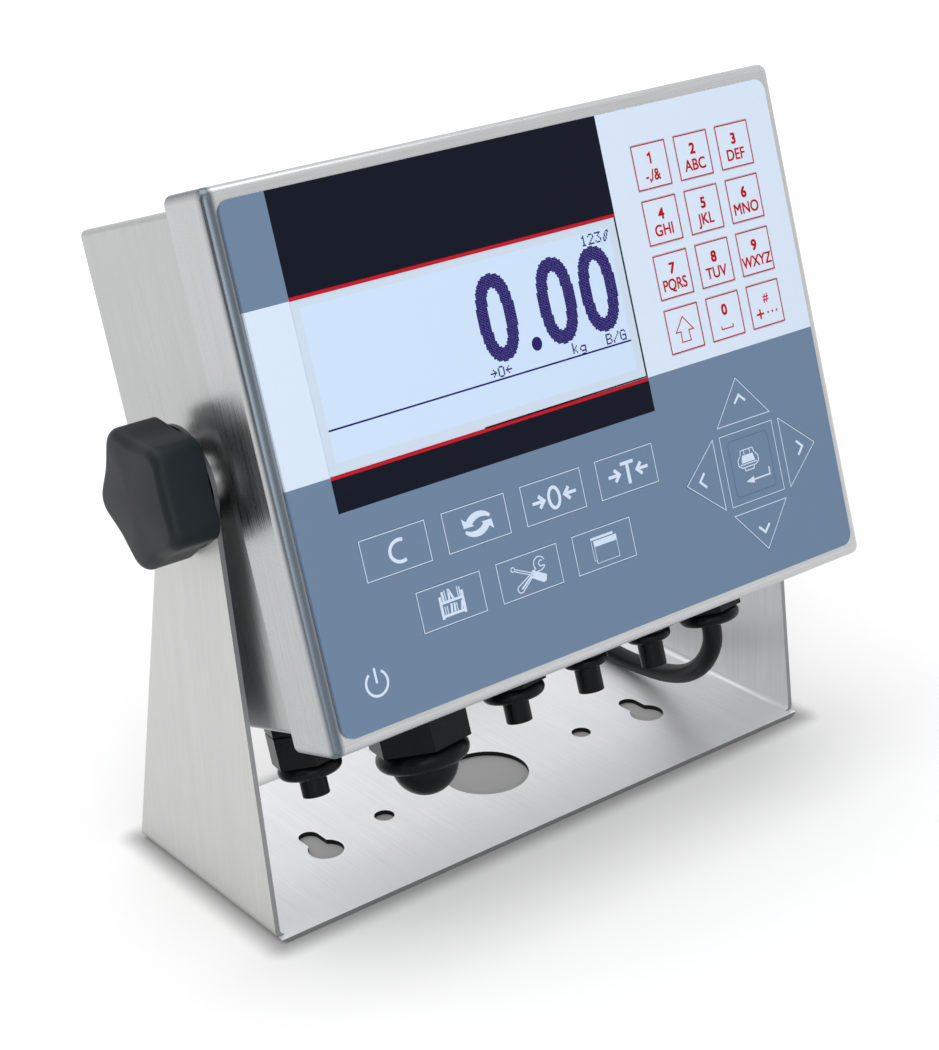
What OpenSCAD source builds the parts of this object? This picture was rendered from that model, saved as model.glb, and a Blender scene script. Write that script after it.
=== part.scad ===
// Weighing indicator on a tilting U-bracket: a stainless cover and housing with a membrane
// keypad, six cable glands underneath and a mains lead. Millimetres, +Z up, +X to the
// operator's right and +Y away from the operator. The origin is the centre of the cable hole,
// on the underside of the bracket's base plate.

/* [Cover and housing] */
// Depth of the cover's folded skirt
cover_depth = 25.3; // [22:0.1:32]
// Sheet thickness of the cover
cover_t = 1.5; // [1:0.1:2]
// Outer radius of the cover's folds and corners
cover_bend_r = 3.6; // [2.5:0.1:5]
// Depth of cover and housing together
head_depth = 100; // [90:1:110]
// Sheet thickness of the housing
housing_t = 1.5; // [1:0.1:2]
// Outer radius of the housing's folds and corners
housing_bend_r = 2.5; // [2.5:0.1:5]
// How far the cover's side stands out past the housing
side_step = 2.5; // [2.5:0.1:4]
// How far the cover's top stands out past the housing
top_step = 5.2; // [5:0.1:10]
// How far the cover's bottom stands out past the housing
bottom_step = 6; // [6:0.1:10]
// Thickness of the gasket between cover and housing
gasket_t = 3; // [2:0.1:5]
// Width of the gasket's face
gasket_w = 6; // [5:0.1:8]

/* [Tilt] */
// Backward tilt of the panel, in degrees
tilt = 16.7; // [0:0.1:30]
// Height of the tilt axis over the underside of the base
pivot_h = 175.2; // [170:0.1:200]
// Distance of the tilt axis in front of the cable hole
pivot_front = 10; // [5:0.1:15]
// Depth of the tilt axis behind the panel
pivot_depth = 50.8; // [45:0.1:55]

/* [Bracket] */
// Side gap between the cover and each arm
arm_gap = 2.3; // [2:0.1:5]
// Sheet thickness of the bracket
bracket_t = 2; // [1.5:0.1:3]
// Inner radius of the bracket's folds
bracket_bend_r = 2.5; // [1:0.1:4]
// Base plate in front of the cable hole
plate_front = 48.8; // [45:0.1:60]
// Base plate behind the cable hole
plate_rear = 54.9; // [45:0.1:70]
// Step of the arm's front edge behind the plate's front edge
arm_foot_inset = 2.9; // [1:0.1:6]
// Radius of the arm's round top end
ear_r = 17.5; // [14:0.1:22]
// Radius of the cable hole
cable_hole_r = 18.4; // [15:0.1:20]
// Distance between the two screw holes
screw_spacing = 106.6; // [90:0.1:120]
// Radius of the screw holes
screw_hole_r = 4.25; // [3:0.05:5]
// Distance between the two keyholes
keyhole_spacing = 173; // [160:0.1:190]
// Radius of the keyhole's wide end
keyhole_wide_r = 7.4; // [6:0.1:8]
// Radius of the keyhole's slot
keyhole_slot_r = 4.3; // [3:0.05:5]
// Distance of the wide end in front of the screw holes
keyhole_wide_front = 5.8; // [4:0.1:8]
// Distance of the slot's end centre behind the screw holes
keyhole_slot_rear = 6.4; // [2:0.1:8]

/* [Hand knobs] */
// Radius of the knob over its corners
knob_r = 26.8; // [25:0.1:32]
// Rounding radius of the knob's corners and outer edge
knob_corner_r = 7; // [5:0.1:9]
// Depth of the knob
knob_depth = 20.3; // [18:0.1:28]
// Number of corners on the knob
knob_corners = 5; // [5:1:7]
// Depth of the scoop between two corners
knob_scoop = 0.9; // [0.5:0.1:1.5]
// Radius of the steel hub washer under the knob
hub_r = 23; // [18:0.1:25]
// Thickness of the steel hub washer
hub_t = 1.8; // [1.2:0.1:3]
// Radius of the clamp stud, an M8 thread
stud_r = 4; // [3:0.5:5]
// Radius of the friction washer between arm and housing
friction_r = 15; // [12:0.1:17]
// Thickness of the friction washer
friction_t = 1.2; // [0.8:0.1:1.6]

/* [Keypad] */
// Steel margin left round the keypad
keypad_margin = 5.5; // [4:0.1:8]
// Thickness of the keypad's printed face
keypad_t = 0.85; // [0.7:0.05:1.2]
// Thickness of the switch foil under the face
foil_t = 0.35; // [0.2:0.05:0.5]
// Corner radius of the keypad
keypad_corner_r = 5; // [3:0.1:8]
// Thickness of a key pad
key_t = 0.45; // [0.3:0.05:0.5]
// Side gap round a key pad
key_gap = 0.15; // [0.1:0.05:0.3]
// Width of the display window
window_w = 147.7; // [130:0.1:170]
// Height of the display window
window_h = 62.4; // [55:0.1:70]
// Keypad to the left of the window
window_inset = 18.4; // [15:0.1:24]
// Keypad above the window
window_drop = 38.2; // [32:0.1:44]
// Side of a number key
number_key = 17.5; // [15:0.1:20]
// Sideways spacing of the number keys
number_pitch_x = 21.8; // [20.5:0.1:26]
// Upright spacing of the number keys
number_pitch_y = 21.2; // [20.5:0.1:26]
// Keypad between the window and the number keys
number_inset = 13.9; // [10:0.1:20]
// Keypad above the number keys
number_drop = 14.2; // [10:0.1:20]
// Keypad to the right of the number keys
number_right = 12.9; // [9:0.1:18]
// Side of the enter key
enter_key = 28.8; // [26:0.1:34]
// Gap between the enter key and an arrow key
arrow_gap = 3.4; // [3:0.1:5]
// Height of an arrow key, from its base to its tip
arrow_h = 17.6; // [14:0.1:20]
// Keypad between the number keys and the arrow keys
arrow_drop = 15.2; // [10:0.1:20]
// Keypad below the arrow keys
arrow_rise = 9.7; // [7:0.1:15]
// Middle of the arrow keys, left of the middle of the number keys
arrow_left = 1.5; // [0:0.1:3]
// Height of a function key
function_key_h = 15.4; // [13:0.1:18]
// Gap between the function keys of a row
function_gap = 7.3; // [5:0.1:10]
// Upright spacing of the two rows of function keys
function_row_pitch = 24.3; // [20:0.1:28]
// Keypad between the window and the function keys
function_drop = 24.2; // [20:0.1:28]
// Inset of the upper function keys from the window's sides
function_inset = 5; // [0:0.1:10]
// Radius of the power key
power_key_r = 9; // [7:0.1:10]
// Middle of the power key, from the keypad's left edge
power_inset = 18.2; // [14:0.1:22]
// Middle of the power key, from the keypad's bottom edge
power_rise = 16.1; // [14:0.1:20]

/* [Cable glands] */
// Thread radius of the small glands
small_thread_r = 8; // [7:0.5:9]
// Thread radius of the medium glands
medium_thread_r = 10; // [9:0.5:11]
// Thread radius of the large gland
large_thread_r = 14.5; // [14:0.5:16]
// Depth of the gland row behind the panel
gland_depth = 61; // [58:0.1:64]
// Radius of the blanking rods
blank_r = 5.35; // [4:0.05:5.5]
// How far the blanking rods reach below the housing
blank_drop = 36.8; // [34:0.1:40]
// Radius of the large gland's dome plug
dome_r = 13.4; // [10:0.1:13.5]
// How far the dome plug reaches below the housing
dome_drop = 50.6; // [46:0.1:54]

/* [Inside] */
// Thickness of the circuit boards
board_t = 1.6; // [1:0.1:2]
// Width of the main board
board_w = 150; // [120:1:170]
// Height of the main board
board_h = 110; // [90:1:120]
// Height of the standoffs under the main board
standoff_h = 10; // [8:1:14]
// Radius of the cover's pillars
pillar_r = 5; // [4:0.1:6]
// Radius of the cover bolts
bolt_r = 2.5; // [2:0.1:3]
// Inset of the pillars from the housing's left and right sides
pillar_inset = 12; // [10:0.1:15]
// Inset of the pillars from the housing's top and bottom
pillar_rise = 18; // [17:0.1:24]
// Width of the mains supply
supply_w = 64; // [50:1:70]
// Height of the mains supply
supply_h = 96; // [80:1:110]
// Depth of the mains supply
supply_d = 30; // [20:1:34]

/* [Mains lead] */
// Diameter of the mains lead
cord_d = 8.4; // [7:0.1:9]
// Number of turns in the stored coil
coil_turns = 5; // [3:2:7]
// Radius of the coil at the middle of its turns
coil_mid_r = 46; // [44:0.5:60]
// Gap between neighbouring turns
coil_gap = 0.8; // [0.5:0.1:1.5]
// Thickness of the tie round the coil
tie_t = 0.8; // [0.5:0.1:1.5]
// Width of the tie
tie_w = 12; // [8:0.5:20]
// Radius of the plug's body
plug_r = 18; // [17:0.1:20]
// Length of the plug's body
plug_l = 34; // [28:0.1:45]

/* [Hidden] */
$fn = 64;

// Overrun of every cut past the face that it opens
over = 1;
// Clearance of faces that only rest against each other on parts that turn
rest_gap = 0.1;
// Radial clearance of a shaft or thread in its hole
fit_gap = 0.05;
// Radial clearance of a bolt through a sheet
through_gap = 0.25;
// Clearance round things that lie inside the housing's walls
wall_gap = 0.3;

// Columns and rows of number keys, and function keys in the upper row
number_columns = 3;
number_rows = 4;
upper_functions = 4;

// The keypad is as large as what lies side by side on it, and the cover goes round it
arrow_reach = enter_key / 2 + arrow_gap + arrow_h;
keypad_w = window_inset + window_w + number_inset + (number_columns - 1) * number_pitch_x
    + number_key + number_right;
keypad_h = number_drop + (number_rows - 1) * number_pitch_y + number_key + arrow_drop
    + 2 * arrow_reach + arrow_rise;
cover_w = keypad_w + 2 * keypad_margin;
cover_h = keypad_h + 2 * keypad_margin;

// Places on the keypad, from its middle
window_left = keypad_w / 2 - window_inset - window_w / 2;
window_up = keypad_h / 2 - window_drop - window_h / 2;
number_first_x = keypad_w / 2 - number_right - number_key / 2
    - (number_columns - 1) * number_pitch_x;
number_first_y = keypad_h / 2 - number_drop - number_key / 2;
enter_x = number_first_x + (number_columns - 1) / 2 * number_pitch_x - arrow_left;
enter_down = keypad_h / 2 - arrow_rise - arrow_reach;
function_key_w = (window_w - 2 * function_inset - (upper_functions - 1) * function_gap)
    / upper_functions;
function_pitch = function_key_w + function_gap;
function_left = window_left + window_w / 2 - function_inset - function_key_w / 2;
function_row_1 = window_h / 2 - window_up + function_drop + function_key_h / 2;
function_row_2 = function_row_1 + function_row_pitch;
function_row_shift_share = 0.51;
power_left = keypad_w / 2 - power_inset;
power_down = keypad_h / 2 - power_rise;

cover_side = cover_w / 2;
housing_side = cover_side - side_step;
housing_top = cover_h / 2 - top_step;
housing_bottom = cover_h / 2 - bottom_step;
rim_depth = cover_t + gasket_t;
rear_inner = head_depth - housing_t;
arm_inner = cover_side + arm_gap;
arm_outer = arm_inner + bracket_t;
knob_inner = arm_outer + hub_t + 2 * rest_gap;
keypad_face = foil_t + keypad_t;

// Thickness of the housing's folded rim
rim_t = housing_t;

// Places and lengths of the glands, from the operator's left, as shares of the cover's width
gland_x_shares = [-0.4102, -0.2215, -0.0404, 0.1038, 0.2347, 0.3642];
gland_r = [medium_thread_r, large_thread_r, medium_thread_r, small_thread_r, small_thread_r,
    medium_thread_r];
// Which glands hold a blanking rod, and how far each rod is pushed out as a share of the longest
blank_glands = [0, 2, 3, 4];
blank_drop_shares = [0.9, 1, 0.99, 0.99];
plug_gland = 1;
lead_gland = 5;
// Sizes of a gland as shares of its thread radius
gland_flats_share = 2.5;
gland_seal_share = 0.15;
gland_flange_share = 0.45;
gland_groove_share = 0.06;
gland_dome_share = 0.6;
// Down to each gland's shoulder, by how far its nut is screwed on, and the shoulder's radius
gland_length_shares = [1.9, 2.03, 2.1, 2.6, 2.6, 2.2];
gland_shoulder_shares = [1.25, 1.3, 1.3, 1.19, 1.19, 1.3];
// Turn of the hexagons about their axis, in degrees
gland_turn = -12;
lock_nut_share = 0.5;
lock_nut_flats_share = 2.6;
gland_inside_share = 0.8;

bush_r = 11;
bush_nut_flats = 15;
bush_nut_l = 10;
bush_l = arm_inner - housing_side - friction_t - 2 * rest_gap;
stud_l = knob_depth / 2 + (knob_inner - housing_side) + bush_nut_l;

// The switch foil's tail passes through a slot in the cover
tail_slot_w = 24;
tail_slot_h = 4;
tail_slot_drop = 7;

window_frame = 3.2;
window_sink = 0.2;
module_side = 3;
module_t = 7;
module_chip_t = 2.5;

bolt_flats = 8;
bolt_head_h = 3.5;
bolt_washer_r = 5.5;
bolt_washer_t = 1;
bolt_l = 14;
standoff_r = 3;
standoff_inset = 6;
board_left_share = 0.145;
board_up = 8;
supply_left_share = 0.315;
supply_gap = 0.5;

// Names of the keys
number_names = ["key_1", "key_2", "key_3", "key_4", "key_5", "key_6", "key_7", "key_8", "key_9",
    "key_shift", "key_0", "key_symbol"];
function_names = ["key_clear", "key_switch", "key_zero", "key_tare", "key_recall", "key_setup",
    "key_menu"];
arrow_names = ["key_up", "key_right", "key_down", "key_left"];
key_corner_r = 0.6;

// Route of the mains lead, from the gland down to the plate, over its rear edge to the coil
lead_route = [[96.5, -35.6, 54.4], [96.5, -37, 49.6], [96.9, -36.4, 43.5], [98, -32, 35],
    [100.2, -24, 26.5], [102.8, -12.5, 18.6], [105.4, 2, 12.6], [107.6, 18, 8.8], [109, 35, 6.8],
    [110.2, 52, 6.5], [112, 68, 6.1], [114.6, 84, 5.6], [116.6, 100, 5.2], [117.5, 116, 5.2],
    [117.5, 126.6, 5.2]];
coil_centre = [60, 135];
// Route from the coil's end round to the plug
tail_route = [[117.5, 143.4, 14.4], [117.5, 151, 14.4], [118.4, 159.5, 13.2], [122, 170.5, 10.4],
    [129.5, 181.5, 7.6], [140, 189.3, 5.8], [151.5, 192, 5.2], [163.5, 189.3, 5.8],
    [174, 181.5, 8.2], [181, 170, 12], [184.6, 157.5, 16.2], [185.5, 143, 18], [185.5, 130, 18]];
lead_sides = 10;
coil_sides = 6;
coil_rings = 24;
coil_floor = tie_t + cord_d / 2 + 0.2;
plug_boot_l = 26;
plug_boot_r = 6.2;
plug_neck_r = 12;
plug_face_l = 6;
plug_face_r = 17;
pin_r = 2.4;
pin_root_r = 2;
pin_l = 19;
pin_spacing = 19;

steel = "#c9cac6";
bright_steel = "#dfe3e6";
keypad_blue = "#c3d6ec";
key_blue = "#d3e3f4";
nylon_black = "#1d2226";

// Frames: the head turns about the tilt axis, and its own axes are X right, Y back, Z up the panel
module head_frame() {
    translate([0, -pivot_front, pivot_h]) rotate([-tilt, 0, 0]) children();
}

// X right and Y up the panel from the middle of the cover's face, Z out of it
module panel_frame() {
    head_frame() translate([0, -pivot_depth, 0]) rotate([90, 0, 0]) children();
}

// Z outwards along the tilt axis, on one side of the head
module side_frame(side) {
    head_frame() mirror([side < 0 ? 1 : 0, 0, 0]) rotate([0, 90, 0]) children();
}

// Z downwards out of the housing's bottom, on the axis of one gland
module gland_frame(i) {
    head_frame()
        translate([gland_x_shares[i] * cover_w, gland_depth - pivot_depth, -housing_bottom])
            rotate([180, 0, 0])
                children();
}

module round_rect(w, h, r) {
    square([w - 2 * r, h], center = true);
    square([w, h - 2 * r], center = true);
    for (x = [-1, 1], y = [-1, 1])
        translate([x * (w / 2 - r), y * (h / 2 - r)]) circle(r);
}

module tray_edge(length, r) {
    rotate([90, 0, 0]) linear_extrude(length, center = true) intersection() {
        circle(r);
        square(r);
    }
}

// A folded tray, open at z = -depth, whose flat face lies at z = 0 with rounded folds
module folded_tray(w, h, depth, r, t) {
    difference() {
        union() {
            translate([0, 0, -depth]) linear_extrude(depth - r) round_rect(w, h, r);
            translate([0, 0, -r]) linear_extrude(r) square([w - 2 * r, h - 2 * r], center = true);
            for (side = [0, 1]) {
                rotate([0, 0, side * 180]) translate([w / 2 - r, 0, -r]) tray_edge(h - 2 * r, r);
                rotate([0, 0, 90 + side * 180]) translate([h / 2 - r, 0, -r]) tray_edge(w - 2 * r, r);
            }
            for (x = [-1, 1], y = [-1, 1])
                translate([x * (w / 2 - r), y * (h / 2 - r), -r])
                    rotate([0, 0, x * y > 0 ? (x > 0 ? 0 : 180) : (x > 0 ? 270 : 90)])
                        rotate_extrude(angle = 90) intersection() {
                            circle(r);
                            square(r);
                        }
        }
        translate([0, 0, -depth - over])
            linear_extrude(depth + over - t)
                round_rect(w - 2 * t, h - 2 * t, max(r - t, r / 2));
    }
}

// Where the line from a point outside a circle touches it, on the side that side names
function touch_point(p, c, r, side) =
    let (d = norm(c - p), along = (c - p) / d, across = [-along[1], along[0]])
    c - along * (r * r / d) + side * across * (r * sqrt(d * d - r * r) / d);

// Outline of an arm in Y and Z: a taper from the base to a round end about the tilt axis
module arm_outline() {
    axis = [-pivot_front, pivot_h];
    front_foot = [arm_foot_inset - plate_front, 0];
    rear_foot = [plate_rear, 0];
    polygon([front_foot, touch_point(front_foot, axis, ear_r, 1), axis,
        touch_point(rear_foot, axis, ear_r, -1), rear_foot]);
    translate(axis) circle(ear_r);
}

// The U of the bracket in X and Z, with rounded folds
module bracket_section() {
    fold_r = bracket_bend_r + bracket_t;
    top = pivot_h + ear_r + over;
    difference() {
        union() {
            translate([-arm_outer, fold_r]) square([2 * arm_outer, top - fold_r]);
            translate([fold_r - arm_outer, 0]) square([2 * (arm_outer - fold_r), top]);
            for (side = [-1, 1]) translate([side * (arm_outer - fold_r), fold_r]) circle(fold_r);
        }
        translate([-arm_inner, fold_r]) square([2 * arm_inner, top]);
        translate([bracket_bend_r - arm_inner, bracket_t])
            square([2 * (arm_inner - bracket_bend_r), top]);
        for (side = [-1, 1])
            translate([side * (arm_inner - bracket_bend_r), fold_r]) circle(bracket_bend_r);
    }
}

module keyhole() {
    translate([0, -keyhole_wide_front]) circle(keyhole_wide_r);
    translate([0, keyhole_slot_rear]) circle(keyhole_slot_r);
    translate([-keyhole_slot_r, -keyhole_wide_front])
        square([2 * keyhole_slot_r, keyhole_wide_front + keyhole_slot_rear]);
}

module bracket() {
    color(bright_steel) difference() {
        intersection() {
            translate([0, plate_rear, 0]) rotate([90, 0, 0])
                linear_extrude(plate_front + plate_rear) bracket_section();
            union() {
                rotate([90, 0, 90]) linear_extrude(2 * arm_outer + over, center = true)
                    arm_outline();
                translate([-arm_outer, -plate_front, 0])
                    cube([2 * arm_outer, plate_front + plate_rear, bracket_t]);
            }
        }
        translate([0, 0, -over]) linear_extrude(bracket_t + 2 * over) {
            circle(cable_hole_r);
            for (side = [-1, 1]) {
                translate([side * screw_spacing / 2, 0]) circle(screw_hole_r);
                translate([side * keyhole_spacing / 2, 0]) keyhole();
            }
        }
        translate([0, -pivot_front, pivot_h]) rotate([0, 90, 0])
            cylinder(h = 2 * arm_outer + over, r = stud_r + fit_gap, center = true);
    }
}

// Housing: a folded tray from the back, with a rim folded outwards inside the cover
module rear_housing() {
    housing_h = housing_top + housing_bottom;
    housing_mid = (housing_top - housing_bottom) / 2;
    rim_w = 2 * (cover_side - cover_t - wall_gap);
    rim_h = 2 * (cover_h / 2 - cover_t - wall_gap);
    color(steel) difference() {
        union() {
            head_frame() translate([0, head_depth - pivot_depth, housing_mid]) rotate([-90, 0, 0])
                folded_tray(2 * housing_side, housing_h, head_depth - rim_depth, housing_bend_r,
                    housing_t);
            panel_frame() translate([0, 0, -rim_depth - rim_t]) linear_extrude(rim_t) difference() {
                round_rect(rim_w, rim_h, cover_bend_r - cover_t);
                translate([0, housing_mid])
                    round_rect(2 * (housing_side - housing_t), housing_h - 2 * housing_t,
                        housing_bend_r - housing_t);
            }
        }
        for (i = [0 : len(gland_r) - 1])
            gland_frame(i) cylinder(h = 4 * housing_t, r = gland_r[i] + fit_gap, center = true);
        for (side = [-1, 1])
            side_frame(side) translate([0, 0, housing_side])
                cylinder(h = 4 * housing_t, r = stud_r + fit_gap, center = true);
        bolt_places() cylinder(h = 4 * housing_t, r = bolt_r + through_gap, center = true);
    }
}

// Z out of the housing's back, on the axis of each cover bolt
module bolt_places() {
    for (x = [-1, 1], z = [housing_top - pillar_rise, pillar_rise - housing_bottom])
        head_frame() translate([x * (housing_side - pillar_inset), head_depth - pivot_depth, z])
            rotate([-90, 0, 0])
                children();
}

module front_cover() {
    tail_slot_up = window_up - window_h / 2 - tail_slot_drop;
    color(steel) panel_frame() difference() {
        folded_tray(cover_w, cover_h, cover_depth, cover_bend_r, cover_t);
        translate([-window_left, window_up, -cover_t - over]) linear_extrude(cover_t + 2 * over)
            square([window_w - 2 * window_frame, window_h - 2 * window_frame], center = true);
        translate([0, tail_slot_up, -cover_t - over]) linear_extrude(cover_t + 2 * over)
            square([tail_slot_w, tail_slot_h], center = true);
    }
}

module cover_gasket() {
    outer_w = 2 * (cover_side - cover_t - wall_gap);
    outer_h = 2 * (cover_h / 2 - cover_t - wall_gap);
    color(nylon_black) panel_frame() translate([0, 0, -rim_depth]) linear_extrude(gasket_t)
        difference() {
            round_rect(outer_w, outer_h, cover_bend_r - cover_t);
            square([outer_w - 2 * gasket_w, outer_h - 2 * gasket_w], center = true);
        }
}

// Outline of one key by its name, grown by a margin
module key_outline(name, margin) {
    number = search([name], number_names)[0];
    fun = search([name], function_names)[0];
    arrow = search([name], arrow_names)[0];
    if (is_num(number))
        translate([number_first_x + (number % number_columns) * number_pitch_x,
            number_first_y - floor(number / number_columns) * number_pitch_y])
            round_rect(number_key + 2 * margin, number_key + 2 * margin, key_corner_r + margin);
    if (is_num(fun))
        translate(fun < upper_functions
            ? [fun * function_pitch - function_left, -function_row_1]
            : [(fun - upper_functions + function_row_shift_share) * function_pitch - function_left,
                -function_row_2])
            round_rect(function_key_w + 2 * margin, function_key_h + 2 * margin,
                key_corner_r + margin);
    if (is_num(arrow))
        translate([enter_x, -enter_down]) rotate(-90 * arrow)
            translate([0, enter_key / 2 + arrow_gap]) arrow_outline(margin);
    if (name == "key_enter")
        translate([enter_x, -enter_down])
            round_rect(enter_key + 2 * margin, enter_key + 2 * margin, key_corner_r + margin);
    if (name == "key_power")
        translate([-power_left, -power_down]) circle(power_key_r + margin);
}

// A triangle on a base as wide as the enter key, each side moved out by a margin
module arrow_outline(margin) {
    half = enter_key / 2;
    slope = atan2(arrow_h, half);
    base_grow = margin / tan(slope / 2);
    tip_grow = margin / cos(slope);
    polygon([[-half - base_grow, -margin], [half + base_grow, -margin], [0, arrow_h + tip_grow]]);
}

module every_key_outline(margin) {
    for (name = number_names) key_outline(name, margin);
    for (name = function_names) key_outline(name, margin);
    for (name = arrow_names) key_outline(name, margin);
    key_outline("key_enter", margin);
    key_outline("key_power", margin);
}

module keypad_face() {
    color(keypad_blue) panel_frame() translate([0, 0, foil_t]) linear_extrude(keypad_t)
        difference() {
            round_rect(keypad_w, keypad_h, keypad_corner_r);
            translate([-window_left, window_up]) square([window_w, window_h], center = true);
            every_key_outline(key_gap);
        }
}

module switch_foil() {
    color(nylon_black) panel_frame() linear_extrude(foil_t) difference() {
        round_rect(keypad_w, keypad_h, keypad_corner_r);
        translate([-window_left, window_up])
            square([window_w - 2 * window_frame, window_h - 2 * window_frame], center = true);
    }
}

module key_pad(name) {
    color(key_blue) panel_frame() translate([0, 0, keypad_face - key_t]) linear_extrude(key_t)
        key_outline(name, 0);
}

module display_window() {
    color("#dcebfa") panel_frame() translate([-window_left, window_up, foil_t])
        linear_extrude(keypad_t - window_sink)
            square([window_w - 2 * window_sink, window_h - 2 * window_sink], center = true);
}

// Display: a glass cell in a frame with its driver behind, seated on the cover's inside
module display_module() {
    frame_w = window_w + 2 * module_side;
    frame_h = window_h + 2 * module_side;
    cell_w = window_w - 2 * window_frame - 2 * wall_gap;
    cell_h = window_h - 2 * window_frame - 2 * wall_gap;
    color("#cfe1f6") panel_frame() translate([-window_left, window_up, 0]) {
        translate([0, 0, -cover_t - module_t]) linear_extrude(module_t)
            square([frame_w, frame_h], center = true);
        translate([0, 0, -cover_t - over]) linear_extrude(cover_t + over + foil_t / 2)
            square([cell_w, cell_h], center = true);
        for (x = [-1, 0, 1])
            translate([x * frame_w / 4, 0, -cover_t - module_t - module_chip_t])
                linear_extrude(module_chip_t + over) square([frame_w / 12, frame_h / 5], center = true);
    }
}

// X right, Y up and Z forwards from the middle of a board that stands on the housing's back
module board_frame(left) {
    head_frame() translate([-left, rear_inner - pivot_depth, board_up]) rotate([90, 0, 0]) children();
}

module main_board() {
    chips = [[-0.3, 0.25, 0.16, 0.2], [0.05, 0.2, 0.12, 0.16], [0.3, 0.25, 0.1, 0.22],
        [0.25, -0.1, 0.2, 0.1]];
    chip_h_share = 0.02;
    terminal_h_share = 0.09;
    terminal_d_share = 0.1;
    terminals = 6;
    color("#2f6b46") board_frame(-board_left_share * cover_w) {
        translate([0, 0, standoff_h]) linear_extrude(board_t) difference() {
            square([board_w, board_h], center = true);
            standoff_places() circle(bolt_r);
        }
        for (c = chips)
            translate([c[0] * board_w, c[1] * board_h, standoff_h + board_t / 2])
                linear_extrude(board_t / 2 + chip_h_share * board_w)
                    square([c[2] * board_w, c[3] * board_h], center = true);
        for (i = [0 : terminals - 1])
            translate([((i + 0.5) / terminals - 0.5) * board_w * 0.86, -0.42 * board_h,
                standoff_h + board_t / 2])
                linear_extrude(board_t / 2 + terminal_h_share * board_h)
                    square([board_w * 0.86 / terminals * 0.9, terminal_d_share * board_h],
                        center = true);
    }
}

module standoff_places() {
    for (x = [-1, 1], y = [-1, 1])
        translate([x * (board_w / 2 - standoff_inset), y * (board_h / 2 - standoff_inset)])
            children();
}

// Standoffs with a screw head over the board at each corner
module board_standoffs() {
    head_h = bolt_r;
    color("#d9c27a") board_frame(-board_left_share * cover_w) standoff_places() {
        cylinder(h = standoff_h, r = standoff_r);
        cylinder(h = standoff_h + board_t + head_h / 2, r = bolt_r - fit_gap);
        translate([0, 0, standoff_h + board_t]) cylinder(h = head_h, r = standoff_r);
    }
}

// Mains supply: a closed metal case with a flange at top and bottom
module mains_supply() {
    flange_w = 8;
    flange_t = 1.5;
    case_h = supply_h - 2 * flange_w;
    slots = 6;
    color("#b9bcc0") board_frame(supply_left_share * cover_w) difference() {
        union() {
            translate([0, 0, supply_gap]) linear_extrude(flange_t)
                square([supply_w, supply_h], center = true);
            translate([0, 0, supply_gap]) linear_extrude(supply_d)
                square([supply_w, case_h], center = true);
        }
        for (i = [0 : slots - 1])
            translate([0, ((i + 0.5) / slots - 0.5) * case_h, supply_gap + supply_d])
                cube([supply_w / 2, case_h / slots / 3, flange_t], center = true);
    }
}

// Hexagonal pillars from the cover to the housing's back, tapped for the bolts
module cover_pillars() {
    length = rear_inner - cover_t;
    color("#b9bcc0") bolt_places() translate([0, 0, -housing_t - length]) difference() {
        cylinder(h = length, r = pillar_r, $fn = 6);
        translate([0, 0, length - bolt_l]) cylinder(h = bolt_l + over, r = bolt_r + fit_gap);
    }
}

// Hexagon bolts with washers in the corners of the housing's back
module cover_bolts() {
    color("#b9bcc0") bolt_places() {
        cylinder(h = bolt_washer_t, r = bolt_washer_r);
        cylinder(h = bolt_washer_t + bolt_head_h, r = bolt_flats / 2 / cos(30), $fn = 6);
        translate([0, 0, over - bolt_l]) cylinder(h = bolt_l, r = bolt_r);
    }
}

// Welded bushes: a round boss outside the housing and a threaded nut inside it
module pivot_bushes() {
    color(steel) for (side = [-1, 1]) side_frame(side) difference() {
        union() {
            translate([0, 0, housing_side]) cylinder(h = bush_l, r = bush_r);
            translate([0, 0, housing_side - housing_t - bush_nut_l])
                cylinder(h = bush_nut_l, r = bush_nut_flats / 2 / cos(30), $fn = 6);
        }
        translate([0, 0, housing_side - housing_t - bush_nut_l - over])
            cylinder(h = bush_nut_l + housing_t + bush_l + 2 * over, r = stud_r + fit_gap);
    }
}

module friction_washers() {
    color(nylon_black) for (side = [-1, 1])
        side_frame(side) translate([0, 0, housing_side + bush_l + rest_gap])
            ring(friction_r, stud_r + fit_gap, friction_t);
}

module ring(outer, inner, h) {
    difference() {
        cylinder(h = h, r = outer);
        translate([0, 0, -over]) cylinder(h = h + 2 * over, r = inner);
    }
}

module hub_washer(side) {
    color(bright_steel) side_frame(side) translate([0, 0, arm_outer + rest_gap])
        ring(hub_r, stud_r + fit_gap, hub_t);
}

// Hand knob: a rounded pentagon with scooped sides and a crowned outer edge
module knob(side) {
    reach = knob_r - knob_corner_r;
    scoop_r = knob_r * 1.6;
    flat = reach * cos(180 / knob_corners) + knob_corner_r;
    color(nylon_black) side_frame(side) translate([0, 0, knob_inner]) difference() {
        hull() for (i = [0 : knob_corners - 1])
            rotate(90 + i * 360 / knob_corners) translate([reach, 0, 0]) {
                cylinder(h = knob_depth - knob_corner_r, r = knob_corner_r, $fn = 32);
                translate([0, 0, knob_depth - knob_corner_r]) sphere(knob_corner_r, $fn = 32);
            }
        for (i = [0 : knob_corners - 1])
            rotate(90 + (i + 0.5) * 360 / knob_corners)
                translate([flat + scoop_r - knob_scoop, 0, -over])
                    cylinder(h = knob_depth + 2 * over, r = scoop_r, $fn = 96);
        translate([0, 0, -over]) cylinder(h = knob_depth / 2 + over, r = stud_r + fit_gap);
    }
}

module clamp_stud(side) {
    color("#b9bcc0") side_frame(side)
        translate([0, 0, knob_inner + knob_depth / 2 - stud_l])
            cylinder(h = stud_l, r = stud_r);
}

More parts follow.
